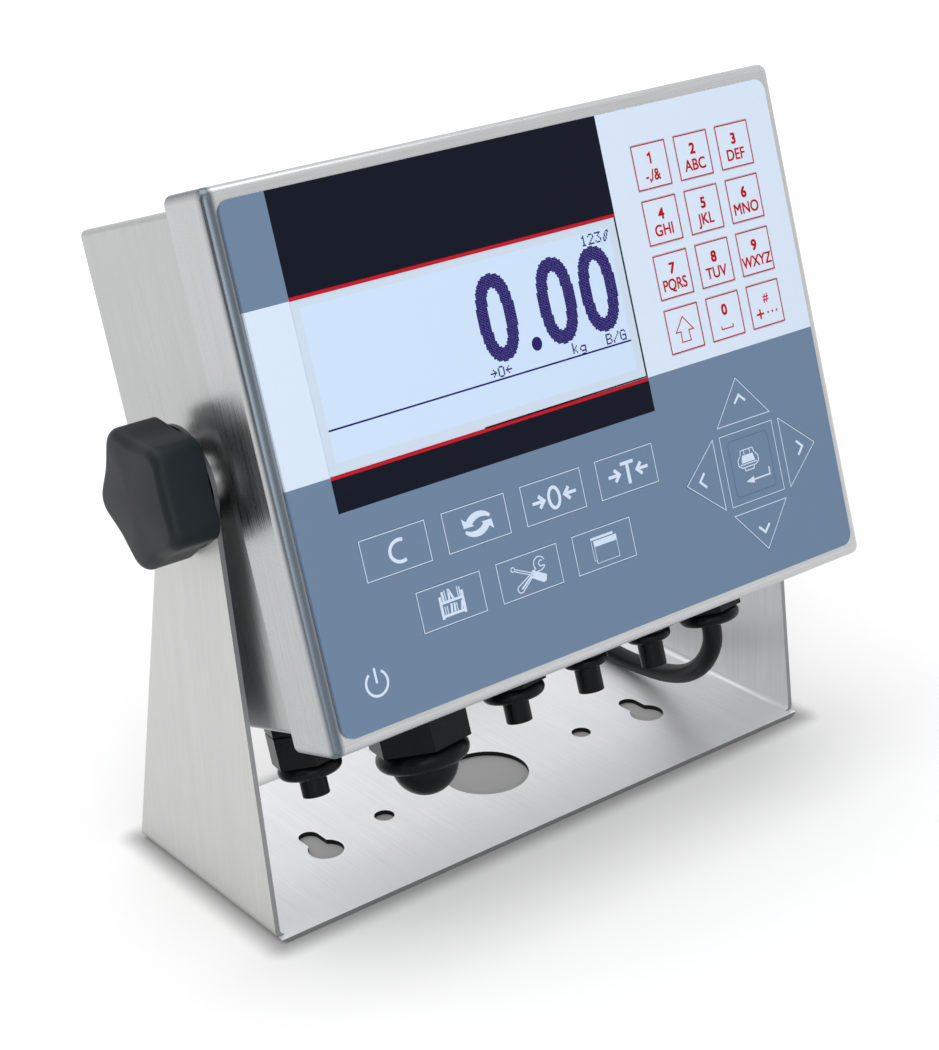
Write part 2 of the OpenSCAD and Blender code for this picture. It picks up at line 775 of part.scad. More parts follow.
function hex_r(thread_r) = gland_flats_share * thread_r / 2 / cos(30);

module gland_seals() {
    color(nylon_black) for (i = [0 : len(gland_r) - 1]) gland_frame(i)
        ring(hex_r(gland_r[i]) * cos(30), gland_r[i] + fit_gap, gland_seal_share * gland_r[i]);
}

// Gland bodies: a flange, a clamp nut above a groove, a round shoulder and a threaded neck
module gland_bodies() {
    color(nylon_black) for (i = [0 : len(gland_r) - 1]) gland_frame(i) rotate([0, 0, gland_turn])
        gland_body(gland_r[i], i == plug_gland ? dome_r : i == lead_gland ? cord_d / 2 : blank_r,
            gland_length_shares[i] * gland_r[i], gland_shoulder_shares[i] * gland_r[i]);
}

module gland_body(r, bore, length, shoulder_r) {
    seal = gland_seal_share * r;
    flange = gland_flange_share * r;
    groove = gland_groove_share * r;
    dome = gland_dome_share * r;
    inside = gland_inside_share * r;
    difference() {
        union() {
            translate([0, 0, seal]) cylinder(h = flange, r = hex_r(r), $fn = 6);
            translate([0, 0, seal]) cylinder(h = length - seal, r = hex_r(r) * cos(30) - groove);
            translate([0, 0, seal + flange + groove])
                cylinder(h = length - seal - flange - groove, r = hex_r(r), $fn = 6);
            translate([0, 0, length]) gland_shoulder(shoulder_r, dome);
            translate([0, 0, -housing_t - inside]) cylinder(h = housing_t + inside + seal + over, r = r);
        }
        translate([0, 0, -housing_t - inside - over])
            cylinder(h = housing_t + inside + length + dome + 2 * over, r = bore + fit_gap);
    }
}

// The round shoulder of a clamp nut, a bulge that narrows to its mouth
module gland_shoulder(r, h) {
    rotate_extrude() {
        square([r - h / 2, h]);
        intersection() {
            translate([r - h / 2, h / 2]) circle(h / 2);
            square([r, h]);
        }
    }
}

module gland_lock_nuts() {
    color(nylon_black) for (i = [0 : len(gland_r) - 1]) gland_frame(i)
        translate([0, 0, -housing_t - lock_nut_share * gland_r[i]]) difference() {
            cylinder(h = lock_nut_share * gland_r[i],
                r = lock_nut_flats_share * gland_r[i] / 2 / cos(30), $fn = 6);
            translate([0, 0, -over])
                cylinder(h = lock_nut_share * gland_r[i] + 2 * over, r = gland_r[i] + fit_gap);
        }
}

module blanking_rods() {
    color(nylon_black) for (k = [0 : len(blank_glands) - 1]) gland_frame(blank_glands[k])
        cylinder(h = blank_drop * blank_drop_shares[k], r = blank_r);
}

module dome_plug() {
    color(nylon_black) gland_frame(plug_gland) {
        cylinder(h = dome_drop - dome_r, r = dome_r);
        translate([0, 0, dome_drop - dome_r]) rotate_extrude() intersection() {
            circle(dome_r);
            square(dome_r);
        }
    }
}

function unit(v) = v / norm(v);
function tangent_at(p, i) = unit(p[min(i + 1, len(p) - 1)] - p[max(i - 1, 0)]);
function carried(n, t) = unit(n - (n * t) * t);
function normals(p, n, i = 0) =
    i == len(p) ? [] :
    let (m = carried(n, tangent_at(p, i))) concat([m], normals(p, m, i + 1));

// A tube of triangles swept along points, with flat ends square to the first and last step
module tube(p, r, sides, first_normal) {
    n = normals(p, first_normal);
    points = [for (i = [0 : len(p) - 1], k = [0 : sides - 1])
        let (a = k * 360 / sides, side_way = cross(tangent_at(p, i), n[i]))
            p[i] + r * (cos(a) * n[i] + sin(a) * side_way)];
    walls = [for (i = [0 : len(p) - 2], k = [0 : sides - 1], half = [0, 1])
        let (a = i * sides + k, b = i * sides + (k + 1) % sides)
            half == 0 ? [a, b, b + sides] : [a, b + sides, a + sides]];
    last = (len(p) - 1) * sides;
    near_end = [for (k = [1 : sides - 2]) [0, k + 1, k]];
    far_end = [for (k = [1 : sides - 2]) [last, last + k, last + k + 1]];
    polyhedron(points, concat(walls, near_end, far_end));
}

// The coil: a spiral in on the floor, a climb over half a turn, and a spiral out on top
function smooth(t) = let (s = min(max(t, 0), 1)) s * s * (3 - 2 * s);
coil_pitch = cord_d + coil_gap;
coil_outer_r = coil_mid_r + coil_turns / 4 * coil_pitch;
function coil_point(turn) =
    let (r = coil_outer_r - coil_pitch * min(turn, coil_turns - turn),
        climb = smooth((turn - coil_turns / 2) * 2 + 0.5))
    [coil_centre[0] + r * cos(360 * turn), coil_centre[1] + r * sin(360 * turn),
        coil_floor + climb * coil_pitch];
coil_run = [for (i = [0 : coil_turns * coil_rings]) coil_point(i / coil_rings)];
coil_path = concat([coil_point(0) - [0, cord_d, 0]], coil_run,
    [coil_point(coil_turns) + [0, cord_d, 0]]);
coil_near = [for (i = [0 : len(coil_run) - 1], j = [i + floor(coil_rings / 2) : 1 : len(coil_run) - 1])
    norm(coil_run[i] - coil_run[j]) - cord_d];

module mains_lead() {
    color(nylon_black) tube(lead_route, cord_d / 2, lead_sides, [1, 0, 0]);
}

module mains_lead_coil() {
    echo("least gap between the coil's turns", min(coil_near));
    color(nylon_black) tube(coil_path, cord_d / 2, coil_sides, [1, 0, 0]);
}

module mains_lead_tail() {
    color(nylon_black) tube(tail_route, cord_d / 2, lead_sides, [1, 0, 0]);
}

// Z along the plug from the end of its boot towards its pins
module plug_frame() {
    translate(tail_route[len(tail_route) - 1]) rotate([90, 0, 0]) children();
}

module mains_plug() {
    edge = plug_face_l / 2;
    color(nylon_black) plug_frame() difference() {
        rotate_extrude() {
            polygon([[0, 0], [cord_d / 2 + edge / 2, 0], [plug_boot_r, plug_boot_l],
                [plug_neck_r, plug_boot_l + edge], [plug_r - edge, plug_boot_l + plug_l / 3],
                [plug_r, plug_boot_l + plug_l / 2], [plug_r, plug_boot_l + plug_l],
                [plug_face_r, plug_boot_l + plug_l], [plug_face_r, plug_boot_l + plug_l + plug_face_l],
                [0, plug_boot_l + plug_l + plug_face_l]]);
        }
        for (side = [-1, 1])
            translate([side * pin_spacing / 2, 0, plug_boot_l + plug_l])
                cylinder(h = plug_face_l + over, r = pin_root_r + fit_gap);
    }
}

module plug_pins() {
    color("#c9cac6") plug_frame() for (side = [-1, 1])
        translate([side * pin_spacing / 2, 0, plug_boot_l + plug_l]) {
            cylinder(h = plug_face_l + pin_r, r = pin_root_r);
            translate([0, 0, plug_face_l]) cylinder(h = pin_l - pin_r, r = pin_r);
            translate([0, 0, plug_face_l + pin_l - pin_r]) rotate_extrude() intersection() {
                circle(pin_r);
                square(pin_r);
            }
        }
}

// A strap round the bundle of turns, a quarter turn after the lead comes in
module coil_tie() {
    inner_h = 2 * cord_d + coil_gap + tie_t;
    inner_w = 2 * (coil_outer_r - coil_mid_r) + cord_d;
    color("#22262a")
        translate([coil_centre[0], coil_centre[1] + coil_mid_r, tie_t + inner_h / 2])
            rotate([90, 0, 90]) linear_extrude(tie_w, center = true) difference() {
                round_rect(inner_w + 2 * tie_t, inner_h + 2 * tie_t, 2 * tie_t);
                round_rect(inner_w, inner_h, tie_t);
            }
}

bracket();
rear_housing();
front_cover();
cover_gasket();
keypad_face();
switch_foil();
display_window();
display_module();
main_board();
mains_supply();
board_standoffs();
cover_pillars();
cover_bolts();
pivot_bushes();
friction_washers();
hub_washer(-1);  // hub_washer_left
hub_washer(1);  // hub_washer_right
knob(-1);  // knob_left
knob(1);  // knob_right
clamp_stud(-1);  // clamp_stud_left
clamp_stud(1);  // clamp_stud_right
gland_seals();
gland_bodies();
gland_lock_nuts();
blanking_rods();
dome_plug();
key_pad("key_1");  // key_1
key_pad("key_2");  // key_2
key_pad("key_3");  // key_3
key_pad("key_4");  // key_4
key_pad("key_5");  // key_5
key_pad("key_6");  // key_6
key_pad("key_7");  // key_7
key_pad("key_8");  // key_8
key_pad("key_9");  // key_9
key_pad("key_shift");  // key_shift
key_pad("key_0");  // key_0
key_pad("key_symbol");  // key_symbol
key_pad("key_clear");  // key_clear
key_pad("key_switch");  // key_switch
key_pad("key_zero");  // key_zero
key_pad("key_tare");  // key_tare
key_pad("key_recall");  // key_recall
key_pad("key_setup");  // key_setup
key_pad("key_menu");  // key_menu
key_pad("key_enter");  // key_enter
key_pad("key_up");  // key_up
key_pad("key_right");  // key_right
key_pad("key_down");  // key_down
key_pad("key_left");  // key_left
key_pad("key_power");  // key_power
mains_lead();
mains_lead_coil();
mains_lead_tail();
mains_plug();
plug_pins();
coil_tie();
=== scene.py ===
import math
import bpy
import numpy as np
from mathutils import Matrix


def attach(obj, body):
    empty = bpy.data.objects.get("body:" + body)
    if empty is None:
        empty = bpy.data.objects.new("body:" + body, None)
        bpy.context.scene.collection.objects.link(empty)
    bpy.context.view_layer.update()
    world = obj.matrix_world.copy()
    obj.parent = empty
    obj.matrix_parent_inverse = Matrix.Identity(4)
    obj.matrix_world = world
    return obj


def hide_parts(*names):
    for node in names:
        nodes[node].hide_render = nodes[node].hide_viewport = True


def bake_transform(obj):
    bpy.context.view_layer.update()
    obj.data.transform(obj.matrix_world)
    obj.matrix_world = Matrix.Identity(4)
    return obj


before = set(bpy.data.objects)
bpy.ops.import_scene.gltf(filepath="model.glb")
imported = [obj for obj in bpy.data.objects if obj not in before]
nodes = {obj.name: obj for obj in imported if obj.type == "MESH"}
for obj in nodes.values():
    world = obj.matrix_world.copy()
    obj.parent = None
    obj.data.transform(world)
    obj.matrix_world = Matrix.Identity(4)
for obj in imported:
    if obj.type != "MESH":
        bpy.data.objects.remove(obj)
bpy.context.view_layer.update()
mm = 0.001

# The panel's own axes: u right, v up the panel, w out of it, from the middle of the cover's face
head = {"tilt": 16.7, "pivotFront": 10.0, "pivotHeight": 175.2, "panelDepth": 50.8}
print("frame loaded")


def headToWorld(x, y, z):
    # Turns a point of the untilted head about the tilt axis, in mm, and gives metres.
    t = math.radians(head["tilt"])
    x, y, z = np.broadcast_arrays(x, y, z)
    back = y * math.cos(t) + z * math.sin(t) - head["pivotFront"]
    high = z * math.cos(t) - y * math.sin(t) + head["pivotHeight"]
    return np.stack([x, back, high], axis=-1) * mm


def panelToWorld(u, v, w):
    return headToWorld(u, -head["panelDepth"] - np.asarray(w, float), v)


# Camera

cameraSet = {"place": (-0.50334, -0.66328, 0.47270), "yaw": -36.17, "pitch": -23.40, "roll": -2.81,
             "lens": 76.77, "shift": (0.0290, 0.0104)}


def makeCamera():
    yaw, pitch, roll = (math.radians(cameraSet[k]) for k in ("yaw", "pitch", "roll"))
    ahead = np.array([-math.sin(yaw) * math.cos(pitch), math.cos(yaw) * math.cos(pitch), math.sin(pitch)])
    right = np.array([math.cos(yaw), math.sin(yaw), 0.0])
    up = np.cross(right, ahead)
    rolledRight = right * math.cos(roll) + up * math.sin(roll)
    rolledUp = up * math.cos(roll) - right * math.sin(roll)
    lens = bpy.data.cameras.new("photoCamera")
    lens.sensor_width = 36
    lens.lens = cameraSet["lens"]
    lens.shift_x, lens.shift_y = cameraSet["shift"]
    lens.clip_start = 0.01
    piece = bpy.data.objects.new("photoCamera", lens)
    turn = Matrix(np.array([rolledRight, rolledUp, -ahead]).T.tolist()).to_4x4()
    piece.matrix_world = Matrix.Translation(cameraSet["place"]) @ turn
    bpy.context.scene.collection.objects.link(piece)
    bpy.context.scene.camera = piece


makeCamera()
print("camera placed")


# Meshes: every shape is a list of (points, faces) parts, joined into one piece

def joinParts(parts):
    points, faces, first = [], [], 0
    for partPoints, partFaces in parts:
        points.append(partPoints)
        faces += [[first + i for i in face] for face in partFaces]
        first += len(partPoints)
    return np.concatenate(points), faces


def makePiece(name, points, faces, material, body=None, smooth=False):
    mesh = bpy.data.meshes.new(name)
    mesh.from_pydata(np.asarray(points).tolist(), [], faces)
    mesh.update()
    if smooth:
        mesh.shade_smooth()
    mesh.materials.append(material)
    piece = bpy.data.objects.new(name, mesh)
    bpy.context.scene.collection.objects.link(piece)
    if body:
        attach(piece, body)
    return piece


def gridFaces(rows, columns, closed):
    # Quads between neighbours of a rows x columns grid; closed joins the last column to the first.
    i, j = np.meshgrid(np.arange(rows - 1), np.arange(columns if closed else columns - 1), indexing="ij")
    k = (j + 1) % columns
    quads = np.stack([i * columns + j, i * columns + k, (i + 1) * columns + k, (i + 1) * columns + j], -1)
    return quads.reshape(-1, 4).tolist()


# Materials

def fromHex(text):
    # sRGB hex to the linear colour that a shader wants: below 0.04045 c/12.92, else ((c+0.055)/1.055)^2.4.
    c = np.array([int(text[i:i + 2], 16) for i in (1, 3, 5)]) / 255
    linear = np.where(c <= 0.04045, c / 12.92, ((c + 0.055) / 1.055) ** 2.4)
    return (*linear.tolist(), 1.0)


def addNode(tree, kind, settings=None):
    # Adds one node. A setting is a property of it, or an input with its value or the socket that feeds it.
    node = tree.nodes.new(kind)
    for key, value in (settings or {}).items():
        if isinstance(value, bpy.types.NodeSocket):
            tree.links.new(value, node.inputs[key])
        elif isinstance(key, str) and hasattr(node, key):
            setattr(node, key, value)
        else:
            node.inputs[key].default_value = value
    return node


def maths(tree, operation, *values):
    return addNode(tree, "ShaderNodeMath", {"operation": operation, **dict(enumerate(values))}).outputs[0]


def vectors(tree, operation, *values):
    node = addNode(tree, "ShaderNodeVectorMath", {"operation": operation, **dict(enumerate(values))})
    return node.outputs["Value" if operation in ("LENGTH", "DOT_PRODUCT") else "Vector"]


def mixed(tree, share, first, second, how="MIX"):
    # The second colour laid over the first.
    return addNode(tree, "ShaderNodeMix", {"data_type": "RGBA", "blend_type": how, 0: share, 6: first,
                                           7: second}).outputs[2]


def remapped(tree, value, start, end, low=0.0, high=1.0, way="LINEAR"):
    # Goes from low to high while the value goes from start to end.
    return addNode(tree, "ShaderNodeMapRange", {"interpolation_type": way, "From Min": start, "From Max": end,
                                                "To Min": low, "To Max": high, "Value": value}).outputs[0]


def addBump(tree, shader, height, strength, depth):
    bump = addNode(tree, "ShaderNodeBump", {"Strength": strength, "Distance": depth * mm, "Height": height})
    tree.links.new(bump.outputs[0], shader.inputs["Normal"])


def startMaterial(name, settings):
    material = bpy.data.materials.new(name)
    material.use_nodes = True
    tree = material.node_tree
    tree.nodes.clear()
    shader = addNode(tree, "ShaderNodeBsdfPrincipled", settings)
    addNode(tree, "ShaderNodeOutputMaterial", {"Surface": shader.outputs[0]})
    return material, tree, shader


def patternPlace(tree, scale=(1, 1, 1), tilted=False):
    # Object coordinates in metres, turned into the head's own axes where the piece is on the head.
    place = addNode(tree, "ShaderNodeTexCoord").outputs["Object"]
    if tilted:
        pivot = (0, -head["pivotFront"] * mm, head["pivotHeight"] * mm)
        place = vectors(tree, "SUBTRACT", place, pivot)
        place = addNode(tree, "ShaderNodeMapping", {"Rotation": (math.radians(head["tilt"]), 0, 0),
                                                    "Vector": place}).outputs[0]
    if scale != (1, 1, 1):
        place = addNode(tree, "ShaderNodeMapping", {"Scale": scale, "Vector": place}).outputs[0]
    return place


def separate(tree, vector):
    return addNode(tree, "ShaderNodeSeparateXYZ", {0: vector}).outputs


def grainPlace(tree, grain, tilted, across, along):
    # Object coordinates drawn out along the grain, which follows one axis. But a bent plate's grain runs
    # along y on its base and up z on its arms, and changes over above the bend; the cover's runs up z beside
    # the film, and along x on the rims above and below it.
    def drawnOut(axis):
        return patternPlace(tree, tuple(along if other == axis else across for other in "xyz"), tilted)

    if grain not in ("bent", "rims"):
        return drawnOut(grain)
    height = separate(tree, patternPlace(tree, tilted=tilted))[2]
    if grain == "bent":
        lying, upright = "y", maths(tree, "GREATER_THAN", height, plate["bendTop"] * mm)
    else:
        lying, upright = "x", maths(tree, "COMPARE", height, 0.0, rim["filmHigh"] * mm)
    return addNode(tree, "ShaderNodeMix", {"data_type": "VECTOR", 0: upright, 4: drawnOut(lying),
                                           5: drawnOut("z")}).outputs[1]


# dark and light are places on the scratches' ramp with the share of the colour there; gloss says how the
# same value goes over to roughness
steel = {"scratch": 0.4, "scratchLong": 40, "band": 6, "bandLong": 120, "bandShare": 0.25,
         "dark": (0.45, 0.88), "light": (0.9, 1.08), "gloss": (0.4, 1.0, -0.06, 0.1), "bump": 0.12,
         "bumpDepth": 0.05}


def brushedSteel(name, grain, tilted, colour, rough, tint=None, metallic=1.0):
    # Stainless sheet brushed with a belt: long fine scratches that blur what it mirrors across the grain.
    # grain names the axis that the scratches run along. Real scratches are 0.05 mm wide; these are 0.4 mm,
    # so that they show at this distance, and about 40 mm long. tint makes a colour that the steel's is
    # multiplied by, which paints light and shade on: a dark reflection on the cover's left rim, and on the
    # plate a paler inside and shaded hole walls, besides its duller cut edges.
    base = fromHex(colour)
    material, tree, shader = startMaterial(name, {"Base Color": base, "Metallic": metallic,
                                                  "Roughness": rough})
    scratches, bands = (addNode(tree, "ShaderNodeTexNoise", {
        "Scale": 1.0, "Vector": grainPlace(tree, grain, tilted, 1 / (wide * mm), 1 / (tall * mm)),
        **detail}).outputs["Fac"] for wide, tall, detail in (
            (steel["scratch"], steel["scratchLong"], {"Detail": 3.0, "Roughness": 0.7}),
            (steel["band"], steel["bandLong"], {"Detail": 2.0})))
    both = maths(tree, "MULTIPLY_ADD", bands, steel["bandShare"], scratches)
    ramp = addNode(tree, "ShaderNodeValToRGB", {"Fac": both})
    for stop, (position, share) in zip(ramp.color_ramp.elements, (steel["dark"], steel["light"])):
        stop.position = position
        stop.color = (*[min(c * share, 1) for c in base[:3]], 1)
    last = mixed(tree, 1.0, ramp.outputs[0], tint(tree), "MULTIPLY") if tint else ramp.outputs[0]
    tree.links.new(last, shader.inputs["Base Color"])
    start, end, low, high = steel["gloss"]
    tree.links.new(remapped(tree, both, start, end, rough + low, rough + high), shader.inputs["Roughness"])
    addBump(tree, shader, scratches, steel["bump"], steel["bumpDepth"])
    return material


# The base colour is the inside's, painted paler than the arms' outsides as painted light, and the holes'
# walls get a near-black painted shade
plate = {"bendTop": 4.5, "thick": 2.0, "front": -48.8, "rear": 54.9, "flat": 143.0, "long": 136.0,
         "arm": "#d3d4d0", "base": "#f6f9fb", "hole": "#18191b", "cut": "#8f9294",
         "outward": 0.02, "steep": 0.6, "sideways": 0.3, "holeMargin": 1.5, "holeTop": 0.1}
# from, to, soft, fade, tone and side place the painted dark reflection on the cover's left rim; filmHigh is
# where the grain turns
rim = {"from": 127.6, "to": 131.2, "soft": 0.9, "fade": 1.2, "tone": "#87919b", "side": 0.16,
       "filmHigh": 96.0}


def plateLightShadeAndCuts(tree):
    # The inside is painted paler than the arms' outsides, where x times the normal's x is above 0: painted
    # light that lifts the inside of the plate, which the head shades. The cut edges are duller, and the walls
    # of the holes are painted dark, a painted shade.
    place = separate(tree, patternPlace(tree))
    normal = separate(tree, addNode(tree, "ShaderNodeNewGeometry").outputs["Normal"])
    outside = maths(tree, "GREATER_THAN", maths(tree, "MULTIPLY", place[0], normal[0]), plate["outward"])
    tone = mixed(tree, outside, fromHex(plate["base"]), fromHex(plate["arm"]))
    steep = maths(tree, "COMPARE", normal[2], 0.0, plate["steep"])
    cut = maths(tree, "MULTIPLY", steep, maths(tree, "COMPARE", normal[0], 0.0, plate["sideways"]))
    tone = mixed(tree, cut, tone, fromHex(plate["cut"]))
    middle, half = (plate["front"] + plate["rear"]) / 2, (plate["rear"] - plate["front"]) / 2
    reach = ((0.0, plate["flat"]), (middle, half - plate["holeMargin"]),
             (0.0, plate["thick"] + plate["holeTop"]))
    # The holes' walls, steep faces inside the plate's flat part and no higher than its top, get the painted
    # shade
    holeShadeMask = steep
    for axis, (centre, most) in enumerate(reach):
        holeShadeMask = maths(tree, "MULTIPLY", holeShadeMask, maths(tree, "COMPARE", place[axis], centre * mm, most * mm))
    return mixed(tree, holeShadeMask, tone, fromHex(plate["hole"]))


def paintedRimReflection(tree):
    # A painted dark reflection on the left rim, between the film and the fold, and a little on the side next
    # to it: the left bend is painted darker as if it mirrored the dim side.
    out = maths(tree, "MULTIPLY", separate(tree, patternPlace(tree, tilted=True))[0], -1.0)
    rise = remapped(tree, out, (rim["from"] - rim["soft"]) * mm, (rim["from"] + rim["soft"]) * mm)
    fall = remapped(tree, out, rim["to"] * mm, (rim["to"] + rim["fade"]) * mm, 1.0, rim["side"])
    return mixed(tree, maths(tree, "MULTIPLY", rise, fall), (1, 1, 1, 1), fromHex(rim["tone"]))


def grained(name, colour, rough, size, bumpDepth, level=0.5, metallic=0.0):
    # A moulded, cast or coated surface: one colour with a fine grain of that size in mm, which breaks
    # up its gloss a little. level is how much it mirrors.
    material, tree, shader = startMaterial(name, {"Base Color": fromHex(colour), "Roughness": rough,
                                                  "Specular IOR Level": level, "Metallic": metallic})
    noise = addNode(tree, "ShaderNodeTexNoise", {"Scale": 1 / (size * mm), "Detail": 3.0,
                                                 "Vector": patternPlace(tree)}).outputs["Fac"]
    tree.links.new(remapped(tree, noise, 0.0, 1.0, rough - 0.05, rough + 0.07), shader.inputs["Roughness"])
    addBump(tree, shader, noise, 0.3, bumpDepth)
    return material


def printedFilm(name, ground, areas, rough=0.34):
    # Polyester film, screen-printed from behind: even colours under a fine satin grain.
    # areas are (left, right, low, high, colour) on the panel, in mm, the later ones on top.
    last = fromHex(ground)
    material, tree, shader = startMaterial(name, {"Base Color": last, "Roughness": rough,
                                                  "Specular IOR Level": 0.06})
    place = separate(tree, patternPlace(tree, tilted=True))
    for left, right, low, high, tone in areas:
        # 1 inside the rectangle, else 0: the distance from its middle is at most half its size both ways
        inside = (maths(tree, "COMPARE", place[axis], (start + end) / 2 * mm, (end - start) / 2 * mm)
                  for axis, start, end in ((0, left, right), (2, low, high)))
        last = mixed(tree, maths(tree, "MULTIPLY", *inside), last, fromHex(tone))
        tree.links.new(last, shader.inputs["Base Color"])
    grain = addNode(tree, "ShaderNodeTexNoise", {"Scale": 1 / (0.4 * mm), "Detail": 2.0,
                                                 "Vector": patternPlace(tree, tilted=True)})
    addBump(tree, shader, grain.outputs["Fac"], 0.15, 0.02)
    return material


tones = {"slate": "#6a7f98", "light": "#d0deef", "dark": "#0f1422", "red": "#c01626", "white": "#ccdaee",
         "number": "#b20f1b", "screenEdge": "#c6d4e4", "screen": "#c6daf1", "digit": "#2c2168"}

panelSteel = brushedSteel("brushed stainless steel, grain up the sides", "z", True, "#b2b3b3", 0.3)
# The cover's steel carries a painted dark reflection on its left rim
coverSteel = brushedSteel("brushed stainless steel with burnished rims", "rims", True, "#c0c2c3", 0.28,
                          paintedRimReflection)
# The plate's steel carries painted light on its inside and painted shade on its hole walls
plateSteel = brushedSteel("bent plate of brushed stainless steel", "bent", False, "#fafafa", 0.46,
                          plateLightShadeAndCuts, 0.6)
turnedSteel = brushedSteel("turned stainless steel", "y", False, "#cfd0d0", 0.22)
hubSteel = brushedSteel("phosphated steel", "y", False, "#606366", 0.34)
nylon = grained("moulded black nylon", "#080b0e", 0.28, 0.6, 0.02, 0.12)
knobNylon = grained("moulded black nylon with a soft touch", "#0f191e", 0.45, 0.7, 0.04, 0.2)
rubber = grained("moulded black rubber", "#0a0c0e", 0.6, 0.8, 0.03, 0.1)
sheath = grained("matt rubber cord sheath", "#0b0e11", 0.38, 0.9, 0.02, 0.15)
boardGreen = grained("green solder mask", "#1d5a34", 0.35, 1.5, 0.01)
supplyZinc = grained("zinc-plated sheet", "#b4b7ba", 0.35, 4.0, 0.01, metallic=1.0)
standoffBrass = grained("turned brass", "#b99a4e", 0.3, 1.0, 0.01, metallic=1.0)
pinNickel = grained("nickel-plated brass", "#c5c3bb", 0.22, 1.0, 0.005, metallic=1.0)
# Black foil, also used for a painted recess shadow along the display window's edge
blackFoilAndShadowLine = grained("black laminated foil, also a painted recess shadow", "#0a0c12", 0.5, 0.8, 0.01, 0.1)

film = printedFilm("screen-printed polyester film", tones["slate"], [
    (-130, -108.55, -5.1, 57.3, tones["light"]),
    (39.15, 130, -5.1, 100, tones["light"]),
    (-108.55, 39.15, 57.3, 100, tones["dark"]),
    (-108.55, 39.15, 57.0, 58.4, tones["red"]),
    (-108.55, 39.15, -18.1, -5.0, tones["dark"]),
    (-108.55, 39.15, -6.2, -4.9, tones["red"])])
slateKey = printedFilm("embossed slate film", tones["slate"], [])
lightKey = printedFilm("embossed light film", tones["light"], [])
screen = printedFilm("lit liquid crystal behind a clear window", tones["screenEdge"],
                     [(-104.9, 34.8, -0.9, 54.2, tones["screen"])], 0.2)
redInk = grained("red screen ink", tones["number"], 0.4, 0.8, 0.002, 0.04)
whiteInk = grained("white screen ink", tones["white"], 0.4, 0.8, 0.002, 0.04)
# A darker slate for the painted shade along the enter key's embossed edge
embossShadeInk = grained("painted shade along the embossed edge of slate film", "#5c6f87", 0.4, 0.8, 0.002, 0.04)
digitInk = grained("dark liquid crystal", tones["digit"], 0.35, 0.8, 0.002, 0.04)
print("materials made")


# Mains lead: one tube along the route's points, the coil's formula and the points to the plug

lead = {"diameter": 8.4, "sides": 20, "perTurn": 48, "turns": 5, "middle": 46, "gap": 0.8,
        "centre": (60, 135), "floor": 5.2,
        "route": [(96.5, -35.6, 54.4), (96.5, -37, 49.6), (96.9, -36.4, 43.5), (98, -32, 35),
                  (100.2, -24, 26.5), (102.8, -12.5, 18.6), (105.4, 2, 12.6), (107.6, 18, 8.8),
                  (109, 35, 6.8), (110.2, 52, 6.5), (112, 68, 6.1), (114.6, 84, 5.6),
                  (116.6, 100, 5.2), (117.5, 116, 5.2), (117.5, 126.6, 5.2)],
        "tail": [(117.5, 143.4, 14.4), (117.5, 151, 14.4), (118.4, 159.5, 13.2), (122, 170.5, 10.4),
                 (129.5, 181.5, 7.6), (140, 189.3, 5.8), (151.5, 192, 5.2), (163.5, 189.3, 5.8),
                 (174, 181.5, 8.2), (181, 170, 12), (184.6, 157.5, 16.2), (185.5, 143, 18),
                 (185.5, 130, 18)]}


def smoothLine(points, steps):
    # Catmull-Rom: between two points the cubic whose slopes follow each point's two neighbours.
    p = np.asarray(points, float)
    p = np.concatenate([2 * p[:1] - p[1:2], p, 2 * p[-1:] - p[-2:-1]])
    t = np.linspace(0, 1, steps, endpoint=False)[None, :, None]
    a, b, c, d = (p[i:len(p) - 3 + i, None] for i in range(4))
    curve = 0.5 * (2 * b + (c - a) * t + (2 * a - 5 * b + 4 * c - d) * t ** 2
                   + (3 * b - a - 3 * c + d) * t ** 3)
    return np.concatenate([curve.reshape(-1, 3), p[-2:-1]])


def coilLine():
    # A spiral in and out again: the radius falls and rises by one pitch a turn, and the height climbs one
    # pitch as a smooth step in the half turn about the reversal.
    pitch = lead["diameter"] + lead["gap"]
    turn = np.linspace(0, lead["turns"], lead["turns"] * lead["perTurn"] + 1)
    radius = lead["middle"] + lead["turns"] / 4 * pitch - pitch * np.minimum(turn, lead["turns"] - turn)
    s = np.clip((turn - lead["turns"] / 2) * 2 + 0.5, 0, 1)
    angle = 2 * np.pi * turn
    return np.stack([lead["centre"][0] + radius * np.cos(angle), lead["centre"][1] + radius * np.sin(angle),
                     lead["floor"] + pitch * s * s * (3 - 2 * s)], -1)


def tubeAlong(path, radius, sides):
    # A round section carried along a path: each ring's first direction is the last one's, made square to
    # the path again.
    steps = np.gradient(path, axis=0)
    steps /= np.linalg.norm(steps, axis=1, keepdims=True)
    side = [np.array([1.0, 0, 0])]
    for step in steps:
        square = side[-1] - step * side[-1].dot(step)
        side.append(square / np.linalg.norm(square))
    side = np.array(side[1:])
    other = np.cross(steps, side)
    angle = np.linspace(0, 2 * np.pi, sides, endpoint=False)
    rings = (path[:, None] + radius * (np.cos(angle)[None, :, None] * side[:, None]
                                       + np.sin(angle)[None, :, None] * other[:, None]))
    faces = gridFaces(len(path), sides, True)
    faces += [list(range(sides))[::-1], list(range((len(path) - 1) * sides, len(path) * sides))]
    return rings.reshape(-1, 3), faces


def makeLead():
    path = np.concatenate([smoothLine(lead["route"], 4)[:-1], coilLine(), smoothLine(lead["tail"], 4)]) * mm
    points, faces = tubeAlong(path, lead["diameter"] / 2 * mm, lead["sides"])
    piece = makePiece("mainsLeadTube", points, faces, sheath, smooth=True)
    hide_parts("mains_lead", "mains_lead_coil", "mains_lead_tail")
    length = float(np.linalg.norm(np.diff(path, axis=0), axis=1).sum())
    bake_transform(piece)
    return length


print("mains lead laid, metres:", round(makeLead(), 3))


